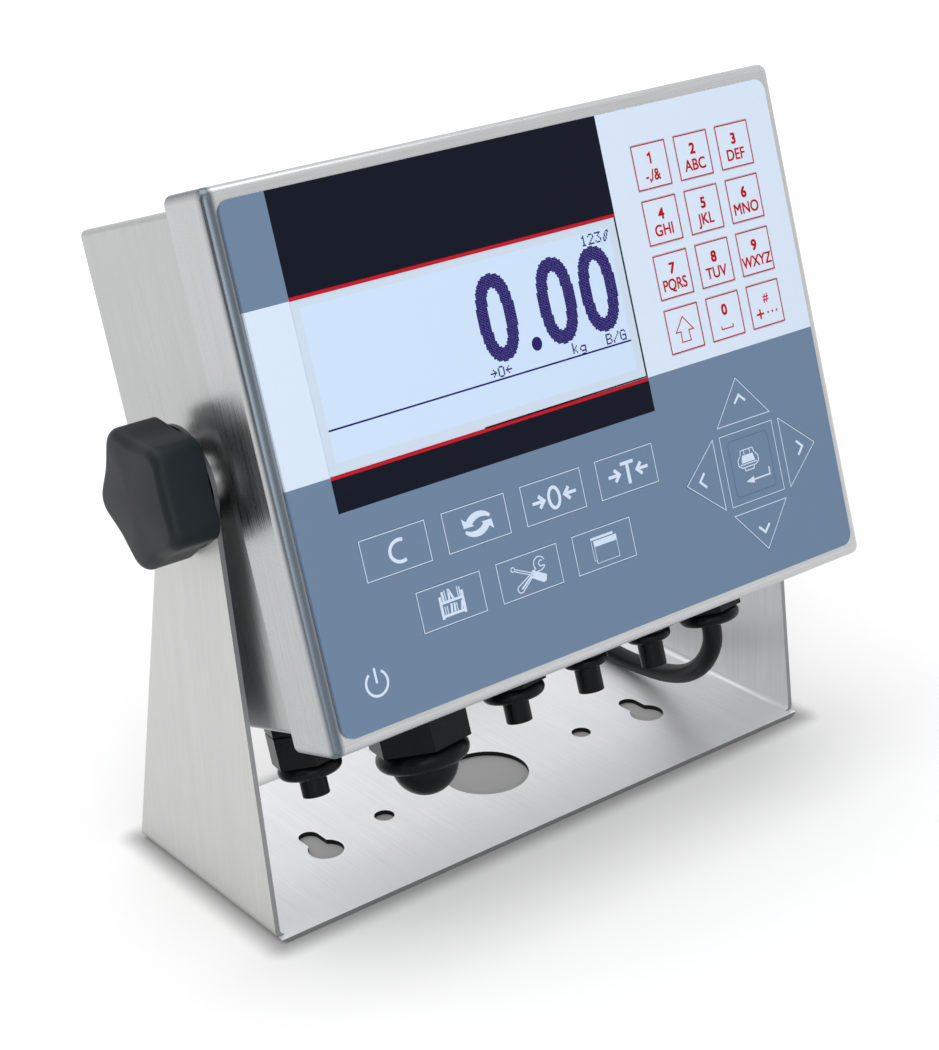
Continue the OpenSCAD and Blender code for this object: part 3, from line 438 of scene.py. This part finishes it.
# Hand knobs: a pentagon with round corners and sides drawn in a little, its outer edge rounded over

knob = {"corner": 27.2, "round": 7.6, "scoop": 0.75, "inner": 138.8, "depth": 20.2, "edge": 4.2, "foot": 0.8,
        "crown": 0.8, "around": 200}


def knobRadius(angle):
    # Radius of a pentagon with rounded corners: on a corner's arc R cos d + sqrt(r^2 - R^2 sin^2 d), and on
    # a side its distance from the middle over cos(36 deg - d), less a scoop; d is the angle to the corner.
    sector = np.pi / 5
    d = np.abs((angle + sector) % (2 * sector) - sector)
    r, reach = knob["round"], knob["corner"] - knob["round"]
    tangent = math.atan2(r * math.sin(sector), reach + r * math.cos(sector))
    arc = reach * np.cos(d) + np.sqrt(np.maximum(r ** 2 - (reach * np.sin(d)) ** 2, 0))
    side = (reach * math.cos(sector) + r) / np.cos(sector - d)
    along = np.clip((d - tangent / 2) / (sector - tangent / 2), 0, 1)
    return np.where(d < tangent, arc, side) - knob["scoop"] * along ** 2 * (3 - 2 * along)


def makeKnob(side):
    # The outline carried up a profile of a small foot round, a straight wall, a quarter round and a slightly
    # crowned face. The first corner points backwards.
    a = np.linspace(0, 2 * np.pi, knob["around"], endpoint=False)
    radius = knobRadius(a)
    foot, edge = np.linspace(0, np.pi / 2, 5), np.linspace(0, np.pi / 2, 12)
    top = knob["depth"] - knob["crown"]
    inset = np.concatenate([knob["foot"] * (1 - np.sin(foot)), knob["edge"] * (1 - np.cos(edge))])
    height = np.concatenate([knob["foot"] * (1 - np.cos(foot)),
                             top - knob["edge"] + knob["edge"] * np.sin(edge)])
    inward = np.linspace(0, 1, 10)[1:-1, None]
    r = np.concatenate([radius - inset[:, None], (radius - knob["edge"]) * (1 - inward)])
    h = np.concatenate([np.tile(height[:, None], len(a)),
                        top + knob["crown"] * (1 - (1 - inward) ** 2) * np.ones(len(a))])
    points = headToWorld(side * (knob["inner"] + h), r * np.cos(a), r * np.sin(a)).reshape(-1, 3)
    points = np.concatenate([points, headToWorld(side * (knob["inner"] + knob["depth"]), 0, 0)[None]])
    faces, last = gridFaces(len(r), len(a), True), (len(r) - 1) * len(a)
    faces += [[last + i, last + (i + 1) % len(a), len(points) - 1] for i in range(len(a))]
    faces.append(list(range(len(a)))[::-1])
    if side < 0:
        faces = [face[::-1] for face in faces]
    name = "left" if side < 0 else "right"
    piece = makePiece("handKnob" + name.capitalize(), points, faces, knobNylon, "hand_knob_" + name,
                      True)
    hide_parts("knob_" + name)


makeKnob(-1)
makeKnob(1)
print("knobs made")


# Printing: strokes, plates and letters on the panel, a few hundredths of a millimetre thick. What crosses
# another stroke lies a micron under it.

ink = {"low": 1.2, "high": 1.23, "under": 1.229, "lowest": 1.228, "outline": 0.3, "screenLow": 1.0,
       "screenHigh": 1.03}


def solidOutline(outline, low, high):
    # A flat closed outline given thickness.
    count = len(outline)
    flat = np.asarray(outline, float)
    points = np.concatenate([np.column_stack([flat, np.full(count, low)]),
                             np.column_stack([flat, np.full(count, high)])])
    faces = [list(range(count))[::-1], list(range(count, 2 * count))]
    faces += [[i, (i + 1) % count, count + (i + 1) % count, count + i] for i in range(count)]
    return points, faces


def ringOutline(outer, inner, low, high):
    # The band between two closed outlines of as many points, given thickness.
    count = len(outer)
    loops = [np.column_stack([np.asarray(loop, float), np.full(count, w)])
             for loop, w in ((outer, low), (outer, high), (inner, high), (inner, low), (outer, low))]
    faces = gridFaces(5, count, True)
    faces = [[i if i < 4 * count else i - 4 * count for i in face] for face in faces]
    return np.concatenate(loops[:4]), faces


def stroke(line, width, closed=False, low=None, high=None):
    # A line of even width: each point is moved square to its two steps, by the mitre that keeps the width.
    low = ink["low"] if low is None else low
    high = ink["high"] if high is None else high
    p = np.asarray(line, float)
    if closed:
        before, after = np.roll(p, 1, 0), np.roll(p, -1, 0)
    else:
        before = np.concatenate([2 * p[:1] - p[1:2], p[:-1]])
        after = np.concatenate([p[1:], 2 * p[-1:] - p[-2:-1]])
    first = (p - before) / np.linalg.norm(p - before, axis=1, keepdims=True)
    second = (after - p) / np.linalg.norm(after - p, axis=1, keepdims=True)
    bisector = first + second
    bisector /= np.linalg.norm(bisector, axis=1, keepdims=True)
    square = np.column_stack([-bisector[:, 1], bisector[:, 0]])
    reach = width / 2 / np.maximum((square * np.column_stack([-first[:, 1], first[:, 0]])).sum(1), 0.3)
    left, right = p + square * reach[:, None], p - square * reach[:, None]
    if closed:
        turn = np.cross(np.diff(np.concatenate([p, p[:1]]), axis=0), p).sum()
        return ringOutline(left, right, low, high) if turn > 0 else ringOutline(right, left, low, high)
    return solidOutline(np.concatenate([right, left[::-1]]), low, high)


def arc(middle, radius, start, end, count=20):
    a = np.radians(np.linspace(start, end, count))
    rx, ry = (radius, radius) if np.isscalar(radius) else radius
    return np.column_stack([middle[0] + rx * np.cos(a), middle[1] + ry * np.sin(a)])


def letters(text, middle, height, weight=0.0, narrow=1.0, low=None, high=None):
    # Plain letters as a mesh, their capitals that high in mm, about a middle point. Copies moved by half the
    # weight, in mm, make them bolder.
    curve = bpy.data.curves.new("letters", "FONT")
    curve.body = text
    curve.size = 1.0
    holder = bpy.data.objects.new("letters", curve)
    bpy.context.scene.collection.objects.link(holder)
    bpy.context.view_layer.update()
    mesh = bpy.data.meshes.new_from_object(holder.evaluated_get(bpy.context.evaluated_depsgraph_get()))
    flat = np.empty(len(mesh.vertices) * 3)
    mesh.vertices.foreach_get("co", flat)
    flat = flat.reshape(-1, 3)[:, :2]
    triangles = [list(polygon.vertices) for polygon in mesh.polygons]
    bpy.data.objects.remove(holder)
    bpy.data.meshes.remove(mesh)
    bpy.data.curves.remove(curve)
    capital = 0.729
    box = (flat.min(0) + flat.max(0)) / 2
    flat = (flat - [box[0], capital / 2]) * [height / capital * narrow, height / capital] + np.asarray(middle)
    low, high = ink["low"] if low is None else low, ink["high"] if high is None else high
    copies = [(0, 0)] if not weight else [(-1, -1), (1, -1), (-1, 1), (1, 1), (0, 0)]
    return joinParts([thicken(flat + np.array([a, b]) * weight / 2, triangles, low, high - i * 0.002)
                      for i, (a, b) in enumerate(copies)])


def thicken(flat, triangles, low, high):
    # Gives flat triangles a back and a rim: the rim stands on the edges that only one triangle has.
    a, b, c = (flat[[t[i] for t in triangles]] for i in range(3))
    turn = (b - a)[:, 0] * (c - a)[:, 1] - (b - a)[:, 1] * (c - a)[:, 0]
    triangles = [t if s > 0 else t[::-1] for t, s in zip(triangles, turn)]
    count = len(flat)
    edges = {}
    for t in triangles:
        for i in range(len(t)):
            edges[(t[i], t[(i + 1) % len(t)])] = True
    rim = [(i, j) for i, j in edges if (j, i) not in edges]
    points = np.concatenate([np.column_stack([flat, np.full(count, high)]),
                             np.column_stack([flat, np.full(count, low)])])
    faces = list(triangles) + [[i + count for i in t[::-1]] for t in triangles]
    faces += [[i, i + count, j + count, j] for i, j in rim]
    return points, faces


def printOn(name, parts, material, body):
    flat, faces = joinParts(parts)
    points = panelToWorld(flat[:, 0], flat[:, 1], flat[:, 2])
    return makePiece(name, points, faces, material, body)


def placed(points, x, y):
    return [(x + a, y + b) for a, b in points]


def boxLine(middle, width, height):
    x, y = width / 2, height / 2
    return placed([(-x, -y), (x, -y), (x, y), (-x, y)], *middle)


def filled(points, x, y, high=ink["high"]):
    return solidOutline(placed(points, x, y), ink["low"], high)


# Number keys: red outline, digit and letters

numberKeys = {"first": (61.75, 72.55), "pitch": (21.8, 21.2), "side": 16.8, "line": 0.48,
              "names": ["1", "2", "3", "4", "5", "6", "7", "8", "9", "shift", "0", "symbol"],
              "letters": ["-,/&", "ABC", "DEF", "GHI", "JKL", "MNO", "PQRS", "TUV", "WXYZ"],
              "digitUp": 2.8, "lettersDown": 3.4, "digitHeight": 4.2, "letterHeight": 4.5,
              "narrow": (0.92, 0.84)}


def numberLegend(i, middle):
    x, y = middle
    parts = [stroke(boxLine(middle, numberKeys["side"], numberKeys["side"]), numberKeys["line"], True)]
    name, digitY = numberKeys["names"][i], y + numberKeys["digitUp"]
    if name == "1":
        parts.append(stroke(placed([(-1.3, 1.1), (0.1, 1.9), (0.1, -2.1)], x, digitY), 0.85))
    elif i < 9 or name == "0":
        parts.append(letters(name, (x, digitY), numberKeys["digitHeight"], 0.4, 1.0))
    if i < 9:
        text = numberKeys["letters"][i]
        parts.append(letters(text, (x, y - numberKeys["lettersDown"]), numberKeys["letterHeight"], 0.2,
                             numberKeys["narrow"][len(text) == 4]))
    elif name == "shift":
        parts.append(stroke(placed([(-2.3, -5), (2.3, -5), (2, -0.9), (4.5, -0.9), (0, 4.7), (-4.5, -0.9),
                                    (-2, -0.9)], x, y), 0.45, True))
    elif name == "0":
        parts.append(stroke(placed([(-3, -3.5), (-3, -4.8), (3, -4.8), (3, -3.5)], x, y), 0.5))
    else:
        parts.append(letters("#", (x + 0.6, digitY), 3.6, 0.14))
        parts.append(stroke(placed([(-5.6, -3.4), (-1.6, -3.4)], x, y), 0.8))
        parts.append(stroke(placed([(-3.6, -5.4), (-3.6, -1.4)], x, y), 0.8, high=ink["under"]))
        parts += [solidOutline(arc((x + a, y - 3.4), 0.48, 0, 345, 12), ink["low"], ink["high"])
                  for a in (0.6, 2.9, 5.2)]
    return parts


for index, keyName in enumerate(numberKeys["names"]):
    keyMiddle = (numberKeys["first"][0] + index % 3 * numberKeys["pitch"][0],
                 numberKeys["first"][1] - index // 3 * numberKeys["pitch"][1])
    printOn("legend" + keyName.capitalize(), numberLegend(index, keyMiddle), redInk, "button_" + keyName)
    nodes["key_" + keyName].data.materials.clear()
    nodes["key_" + keyName].data.materials.append(lightKey)
print("number keys printed")


# Function keys: white outline and symbol

functionKeys = {"first": (-89.1, -37.0), "pitch": 36.23, "second": (-70.65, -61.3), "size": (28.5, 15.0)}


arrowHead = {"length": 6.4, "shaft": 1.2, "head": 1.35, "reach": 2.3}


def sideArrow(tip, way):
    # An arrow that points left or right at its tip: a shaft and an open head
    head, reach = arrowHead["head"], arrowHead["reach"]
    x, y = tip[0] - way * head * 0.7, tip[1]
    return [stroke([(tip[0] - way * arrowHead["length"], y), (x - way * 0.4, y)], arrowHead["shaft"]),
            stroke([(x - way * reach, y + reach), (x, y), (x - way * reach, y - reach)], head,
                   high=ink["under"])]


def clearSymbol(x, y):
    return [stroke(arc((x + 1.9, y - 0.2), (4.5, 3.95), 66, 294, 30), 1.3)]


def swapSymbol(x, y):
    # Two curved arrows that chase each other: a crescent with a barbed head, and the same turned half round
    outer = arc((x + 1.2, y - 1.2), (6.6, 5.5), 35, 148, 22)
    inner = arc((x + 2.5, y - 3.0), (5.9, 5.0), 140, 52, 18)
    barbs = [(x - 6.3, y + 3.2), (x - 5.9, y - 0.5), (x - 1.3, y - 0.5)]
    flat = np.concatenate([outer, barbs, inner])
    turnedFlat = np.array([2 * x + 0.9, 2 * y - 0.4]) - flat
    return [solidOutline(shape, ink["low"], ink["high"]) for shape in (flat, turnedFlat)]


def zeroSymbol(x, y):
    return (sideArrow((x - 3.65, y - 0.2), 1) + sideArrow((x + 4.4, y - 0.2), -1)
            + [stroke(arc((x + 0.3, y - 0.2), (2.5, 3.9), 0, 350, 36), 1.3, True)])


def tareSymbol(x, y):
    return (sideArrow((x - 2.8, y - 0.2), 1) + sideArrow((x + 4.1, y - 0.2), -1)
            + [stroke([(x - 2.6, y + 3.5), (x + 3.9, y + 3.5)], 1.3),
               stroke([(x + 0.65, y + 3.6), (x + 0.65, y - 4.7)], 1.5, high=ink["under"])])


def shelfSymbol(x, y):
    # Two shelves between posts, with upright, filled and leaning books
    parts = [stroke([(x + a, y - 5.2), (x + a, y + 3.2)], 1.1) for a in (-4.9, 5.0)]
    parts += [stroke([(x - 4.9, y + b), (x + 5.0, y + b)], 0.95, high=ink["under"]) for b in (0.7, -4.2)]
    books = [(-3.5, 1.2, 0.1, 3.6, 0.9), (-2.3, 1.2, 0.2, 3.9, 0.4), (-0.9, 1.2, -0.2, 4.0, 0.9),
             (0.9, 1.2, 1.4, 3.5, 0.9), (3.2, 1.2, 0.0, 3.9, 0.4), (4.0, 1.2, -0.2, 3.5, 0.5),
             (-3.5, -3.7, 0.0, 3.0, 0.4), (-2.5, -3.7, 0.0, 3.0, 0.4), (-0.9, -3.7, -0.5, 3.4, 0.9),
             (0.6, -3.7, -0.3, 3.3, 0.8), (1.8, -3.7, 0.0, 3.1, 0.4), (3.6, -3.7, -0.8, 3.3, 0.9)]
    return parts + [stroke([(x + a, y + b), (x + a - lean, y + b + tall)], thick, high=ink["lowest"])
                    for a, b, lean, tall, thick in books]


def toolsSymbol(x, y):
    # A screwdriver across an open-ended spanner
    shaft = placed([(-6.5, 3.4), (-6.8, 2.7), (1.0, -1.0), (1.4, -0.2)], x, y)
    grip = placed([(0.3, -0.1), (1.3, 0.9), (7.4, -2.3), (6.6, -4.6), (5.2, -4.8), (0.2, -1.7)], x, y)
    jaw = np.concatenate([arc((x + 5.0, y + 2.5), 2.6, 20, 215, 18),
                          arc((x - 5.3, y - 4.3), 1.55, 150, 320, 12), [(x + 2.2, y - 0.4)],
                          arc((x + 5.0, y + 2.5), 2.6, 275, 330, 8),
                          arc((x + 5.8, y + 2.4), 1.1, 300, 50, 10)])
    return [stroke(shaft, 0.35, True), solidOutline(grip[::-1], ink["low"], ink["high"]),
            stroke(jaw, 0.4, high=ink["under"]),
            stroke(placed([(-5.0, -4.6), (0.6, -0.9)], x, y), 0.7, high=ink["lowest"]),
            stroke(arc((x - 7.3, y + 3.5), 0.85, 0, 345, 14), 0.38, True)]


def menuSymbol(x, y):
    # A window in front of another, each with a filled bar
    front, back = (x + 0.85, y + 2.1), (x - 0.4, y + 4.15)
    return [solidOutline(boxLine(front, 11.2, 2.3), ink["low"], ink["high"]),
            solidOutline(boxLine(back, 11.0, 0.95), ink["low"], ink["high"]),
            stroke(placed([(-4.65, 1.2), (-4.65, -5.4), (6.35, -5.4), (6.35, 1.2)], x, y), 0.22),
            stroke(placed([(-5.75, 3.3), (-5.75, -4.0), (-4.8, -4.5)], x, y), 0.22)]


functionSymbols = [("clear", clearSymbol), ("switch", swapSymbol), ("zero", zeroSymbol), ("tare", tareSymbol),
                   ("recall", shelfSymbol), ("setup", toolsSymbol), ("menu", menuSymbol)]
for index, (keyName, symbol) in enumerate(functionSymbols):
    start = functionKeys["first"] if index < 4 else functionKeys["second"]
    keyMiddle = (start[0] + (index if index < 4 else index - 4) * functionKeys["pitch"], start[1])
    printOn("legend" + keyName.capitalize(),
            [stroke(boxLine(keyMiddle, *functionKeys["size"]), ink["outline"], True)] + symbol(*keyMiddle),
            whiteInk, "button_" + keyName)


# Arrow keys, enter key and power key

arrowKeys = {"middle": (82.05, -50.4), "side": 28.4, "gap": 3.6, "height": 17.0, "chevron": (2.9, 7.3, 10.2),
             "names": ["up", "right", "down", "left"]}


def turned(points, quarterTurns):
    p = np.asarray(points, float)
    for _ in range(quarterTurns):
        p = np.column_stack([p[:, 1], -p[:, 0]])
    return p + arrowKeys["middle"]


half, base = arrowKeys["side"] / 2, arrowKeys["side"] / 2 + arrowKeys["gap"]
for index, keyName in enumerate(arrowKeys["names"]):
    edge = turned([(-half, base), (half, base), (0, base + arrowKeys["height"])], index)
    wide, foot, tip = arrowKeys["chevron"]
    chevron = turned([(-wide, base + foot), (0, base + tip), (wide, base + foot)], index)
    printOn("legend" + keyName.capitalize(), [stroke(edge, ink["outline"], True), stroke(chevron, 1.0)],
            whiteInk, "button_" + keyName)


def enterLegend(x, y):
    # Outline, and a printer over an arrow that turns back
    px, py = x - 1.6, y + 1.9
    parts = [stroke(boxLine((x, y), arrowKeys["side"], arrowKeys["side"]), ink["outline"], True),
             filled([(-3.6, -0.6), (3.6, -0.6), (2.9, 2.4), (-2.9, 2.4)], px, py),
             stroke(placed([(-3.7, 2.6), (-3.3, 4.5), (3.3, 4.5), (3.7, 2.6)], px, py), 0.35)]
    parts += [stroke(placed([(a, 4.3), (a, 2.7)], px, py), 0.35, high=ink["under"]) for a in (-1.5, 1.5)]
    body = [(-4.1, 2.4), (-5.4, 0.8), (-5.4, -1.2), (-3.6, -2.4), (3.6, -2.4), (5.4, -1.2), (5.4, 0.8),
            (4.1, 2.4)]
    return parts + [stroke(placed(body, px, py), 0.4),
                    stroke(placed([(-4.4, -1.2), (4.4, -1.2)], px, py), 0.4, high=ink["under"]),
                    stroke(placed([(-2.6, -2.6), (-2.2, -3.8), (2.2, -3.8), (2.6, -2.6)], px, py), 0.4),
                    stroke(placed([(-1.5, -6.2), (8.3, -6.2), (8.3, -3.2)], x, y), 0.6),
                    filled([(-4.7, -6.2), (-0.4, -7.6), (-0.4, -4.8)], x, y, ink["under"])]


# The ring on the enter key is painted shade along the edge of its embossed pad
emboss = {"wide": 8.7, "tall": 9.25, "round": 2.0, "line": 0.4, "high": 1.215}
enterPad = placed(np.concatenate([arc((a * emboss["wide"], b * emboss["tall"]), emboss["round"], turn,
                                      turn + 90, 8) for a, b, turn in ((1, 1, 0), (-1, 1, 90), (-1, -1, 180),
                                                                       (1, -1, 270))]), *arrowKeys["middle"])
printOn("enterEmbossShade", [stroke(enterPad, emboss["line"], True, high=emboss["high"])], embossShadeInk,
        "button_enter")
printOn("legendEnter", enterLegend(*arrowKeys["middle"]), whiteInk, "button_enter")

# A thin ring of film covers the round gap about the power key
power = {"middle": (-108.9, -79.5), "radius": 4.6, "width": 0.95, "bar": 5.6, "filmOuter": 10.0,
         "filmInner": 8.4, "filmHigh": 1.212}
filmRing = [arc(power["middle"], power[edge], 0, 355, 72) for edge in ("filmOuter", "filmInner")]
printOn("powerKeyFilm", [ringOutline(*filmRing, ink["low"], power["filmHigh"])], slateKey, "head")
printOn("legendPower", [stroke(arc(power["middle"], power["radius"], 125, 415, 40), power["width"]),
                        stroke(placed([(0, power["bar"]), (0, 0)], *power["middle"]), power["width"])],
        whiteInk, "button_power")
for keyName in [name for name, symbol in functionSymbols] + arrowKeys["names"] + ["enter", "power"]:
    nodes["key_" + keyName].data.materials.clear()
    nodes["key_" + keyName].data.materials.append(slateKey)
print("function keys printed")


# Display: large digits, small signs of square dots, a line across, and a painted recess shadow along the
# window's right and lower edges

# The last two entries draw the painted recess shadow along the window's edge: its path, and its width in mm
display = {"dot": 0.583, "hair": 0.03, "zeros": (-24.2, 4.15, 24.45), "middle": 32.7, "outer": (8.6, 16.1),
           "inner": (3.35, 10.9), "power": 2.5, "point": (-9.05, 19.4), "pointSize": (2.4, 2.592),
           "rule": [(-104.8, 10.6), (34.8, 10.6)], "line": 0.65,
           "edge": [(38.75, 57.0), (38.75, -4.5), (-40, -4.75)], "shadowLine": 0.55,
           "signs": [("123", 20.7, 49.4), ("p", 31.6, 49.3), ("kg", 6.6, 11.8), ("B/G", 23.1, 11.4),
                     (">0<", -32.4, 11.3)]}

# Each sign is five dots wide: its rows from the top, a row's dots as the bits of a number
signRows = {"1": [4, 12, 4, 4, 4, 4, 14], "2": [14, 17, 1, 2, 4, 8, 31], "3": [31, 2, 4, 2, 1, 17, 14],
            "0": [14, 17, 17, 17, 17, 17, 14], "k": [16, 16, 18, 20, 24, 20, 18],
            "g": [0, 15, 17, 17, 15, 1, 14], "B": [30, 17, 17, 30, 17, 17, 30],
            "G": [14, 17, 16, 23, 17, 17, 15], "/": [1, 1, 2, 4, 8, 16, 16], "p": [3, 5, 10, 10, 20, 20, 24],
            ">": [0, 4, 2, 31, 2, 4, 0], "<": [0, 4, 8, 31, 8, 4, 0]}


def dotRuns(grid, left, top):
    # Rows of square dots from the top: each run of lit dots becomes one rectangle, a hair apart from the next
    dot, hair = display["dot"], display["hair"]
    step = np.diff(np.pad(grid.astype(int), ((0, 0), (1, 1))), axis=1)
    rows, starts = np.nonzero(step == 1)
    ends = np.nonzero(step == -1)[1]
    parts = []
    for row, start, end in zip(rows, starts, ends):
        x, y = (left + start * dot, left + end * dot), (top - (row + 1) * dot + hair, top - row * dot)
        parts.append(solidOutline([(x[0], y[0]), (x[1], y[0]), (x[1], y[1]), (x[0], y[1])],
                                  ink["screenLow"], ink["screenHigh"]))
    return parts


def zeroDots(middle):
    # A dot is lit between two ovals |x/a|^p + |y/b|^p = 1
    dot = display["dot"]
    left, top = middle - 16 * dot, display["middle"] + 29 * dot
    x = left + (np.arange(32)[None] + 0.5) * dot - middle
    y = top - (np.arange(58)[:, None] + 0.5) * dot - display["middle"]
    oval = [np.abs(x / a) ** display["power"] + np.abs(y / b) ** display["power"]
            for a, b in (display["outer"], display["inner"])]
    return dotRuns((oval[0] < 1) & (oval[1] > 1), left, top)


def signDots(text, left, low):
    dot = display["dot"]
    parts = []
    for place, sign in enumerate(text):
        grid = (np.array(signRows[sign])[:, None] >> np.arange(4, -1, -1)) & 1
        drop = 2 if sign == "g" else 0
        parts += dotRuns(grid, left + place * 6 * dot, low + (7 - drop) * dot)
    return parts


def screenStroke(line, width):
    return stroke(line, width, False, ink["screenLow"], ink["screenHigh"])


def makeDisplay():
    parts = [part for middle in display["zeros"] for part in zeroDots(middle)]
    parts += [part for sign in display["signs"] for part in signDots(*sign)]
    parts.append(solidOutline(arc(display["point"], display["pointSize"], 0, 345, 24), ink["screenLow"],
                              ink["screenHigh"]))
    parts.append(screenStroke(display["rule"], display["line"]))
    printOn("displaySigns", parts, digitInk, "head")
    # A dark line along the window's right and lower edges is a painted shadow of its recess
    printOn("windowRecessShadow", [screenStroke(display["edge"], display["shadowLine"])], blackFoilAndShadowLine, "head")


makeDisplay()
print("display lit")


# Finishes of the pieces that keep their CAD shape

finishes = {"bracket": plateSteel, "rear_housing": panelSteel, "front_cover": coverSteel,
            "cover_gasket": rubber, "keypad_face": film, "switch_foil": film, "display_window": screen,
            "display_module": blackFoilAndShadowLine, "main_board": boardGreen, "mains_supply": supplyZinc,
            "board_standoffs": standoffBrass, "cover_pillars": supplyZinc, "cover_bolts": turnedSteel,
            "pivot_bushes": turnedSteel, "friction_washers": rubber, "hub_washer_left": hubSteel,
            "hub_washer_right": hubSteel, "clamp_stud_left": turnedSteel, "clamp_stud_right": turnedSteel,
            "gland_seals": rubber, "gland_bodies": nylon, "gland_lock_nuts": nylon, "blanking_rods": nylon,
            "dome_plug": nylon, "mains_plug": sheath, "plug_pins": pinNickel, "coil_tie": rubber}
for nodeName, material in finishes.items():
    nodes[nodeName].data.materials.clear()
    nodes[nodeName].data.materials.append(material)
print("finishes set")


# Studio: a white floor that keeps its shadow and has a painted contact shadow about the plate, a soft lamp
# above and behind, two fills in front and a white surround with a dim side behind the camera, which draws
# the cover's bends

# contact and contactWide set the painted contact shadow on the paper: how dark at the plate's edge, and how
# wide in mm
studio = {"floor": 6.0, "floorTone": "#dcdcdc", "seenTone": 0.86, "glow": (0.25, 1.2, 0.07, 0.42),
          "contact": 0.56, "contactWide": 12.0, "surround": 0.72, "dim": 0.06,
          "dimFrom": (-0.78, -0.62, 0.02), "dimInner": 0.93, "dimOuter": 0.8,
          "lamps": {"topLamp": ((-0.12, 0.1, 1.7), 1.7, 16.0), "fillLamp": ((-0.7, -1.5, 0.9), 1.2, 4.3),
                    "lowLamp": ((-0.9, -1.2, 0.42), 0.6, 2.8)}}


def makeFloor():
    # What is seen of the paper glows more the farther it is, so that it ends in white.
    size, low = studio["floor"], -0.2 * mm
    points = [(-size, -size, low), (size, -size, low), (size, size, low), (-size, size, low)]
    material, tree, shader = startMaterial("white paper floor", {
        "Base Color": fromHex(studio["floorTone"]), "Roughness": 0.9, "Specular IOR Level": 0.0,
        "Emission Color": (1, 1, 1, 1)})
    seen = seenRays(tree)
    tone = mixed(tree, seen, fromHex(studio["floorTone"]), (*[studio["seenTone"]] * 3, 1))
    # The paper's colour is multiplied by a painted contact shadow along the plate
    tree.links.new(mixed(tree, 1.0, tone, paintedContactShadow(tree), "MULTIPLY"), shader.inputs["Base Color"])
    glow = remapped(tree, vectors(tree, "LENGTH", patternPlace(tree)), *studio["glow"])
    tree.links.new(maths(tree, "MULTIPLY", glow, seen), shader.inputs["Emission Strength"])
    makePiece("studioFloor", points, [[0, 1, 2, 3]], material)


def paintedContactShadow(tree):
    # A painted contact shadow: the paper is painted darkest along the plate's edge, and the painted shade
    # fades with the distance past its rectangle, the length of (|x| - half the length, |y - middle| - half
    # the depth), each no less than 0.
    middle, half = (plate["front"] + plate["rear"]) / 2, (plate["rear"] - plate["front"]) / 2
    size = vectors(tree, "ABSOLUTE", vectors(tree, "SUBTRACT", patternPlace(tree), (0, middle * mm, 0)))
    past = vectors(tree, "SUBTRACT", size, (plate["long"] * mm, half * mm, 0))
    past = vectors(tree, "MULTIPLY", vectors(tree, "MAXIMUM", past, (0, 0, 0)), (1, 1, 0))
    return remapped(tree, vectors(tree, "LENGTH", past), 0.0, studio["contactWide"] * mm,
                    1 - studio["contact"], 1.0, "SMOOTHSTEP")


def seenRays(tree):
    # 1 for what the camera, metal or glass sees, and 0 for the light that falls on things
    rays = addNode(tree, "ShaderNodeLightPath").outputs
    seen = maths(tree, "MAXIMUM", rays["Is Camera Ray"], rays["Is Glossy Ray"])
    return maths(tree, "MAXIMUM", seen, rays["Is Transmission Ray"])


def makeLamp(name, place, size, power):
    # An area lamp that faces the head.
    lamp = bpy.data.lights.new(name, "AREA")
    lamp.size = size
    lamp.energy = power
    piece = bpy.data.objects.new(name, lamp)
    bpy.context.scene.collection.objects.link(piece)
    away = np.array(place) - np.array([0.0, 0.0, 0.12])
    away /= np.linalg.norm(away)
    right = np.cross([0.0, 0.0, 1.0], away)
    right /= np.linalg.norm(right)
    turn = Matrix(np.array([right, np.cross(away, right), away]).T.tolist()).to_4x4()
    piece.matrix_world = Matrix.Translation(place) @ turn


def makeWorld():
    # White all round, but for what metal mirrors from the dim side: there the strength falls with the cosine
    # of the angle to its middle.
    world = bpy.data.worlds.new("white studio")
    bpy.context.scene.world = world
    world.use_nodes = True
    tree = world.node_tree
    tree.nodes.clear()
    aim = np.array(studio["dimFrom"]) / np.linalg.norm(studio["dimFrom"])
    where = addNode(tree, "ShaderNodeTexCoord").outputs["Generated"]
    towards = vectors(tree, "DOT_PRODUCT", where, tuple(aim))
    dim = remapped(tree, towards, studio["dimOuter"], studio["dimInner"], 1.0, studio["dim"], "SMOOTHSTEP")
    glossy = addNode(tree, "ShaderNodeLightPath").outputs["Is Glossy Ray"]
    white = addNode(tree, "ShaderNodeMix", {"data_type": "FLOAT", 0: glossy, 2: 1.0, 3: dim}).outputs[0]
    strength = addNode(tree, "ShaderNodeMix", {"data_type": "FLOAT", 0: seenRays(tree), 2: studio["surround"],
                                               3: white}).outputs[0]
    light = addNode(tree, "ShaderNodeBackground", {"Color": (1, 1, 1, 1), "Strength": strength})
    addNode(tree, "ShaderNodeOutputWorld", {"Surface": light.outputs[0]})


makeFloor()
for lampName, lampSet in studio["lamps"].items():
    makeLamp(lampName, *lampSet)
makeWorld()
bpy.context.scene.view_settings.view_transform = "Standard"
print("studio ready")
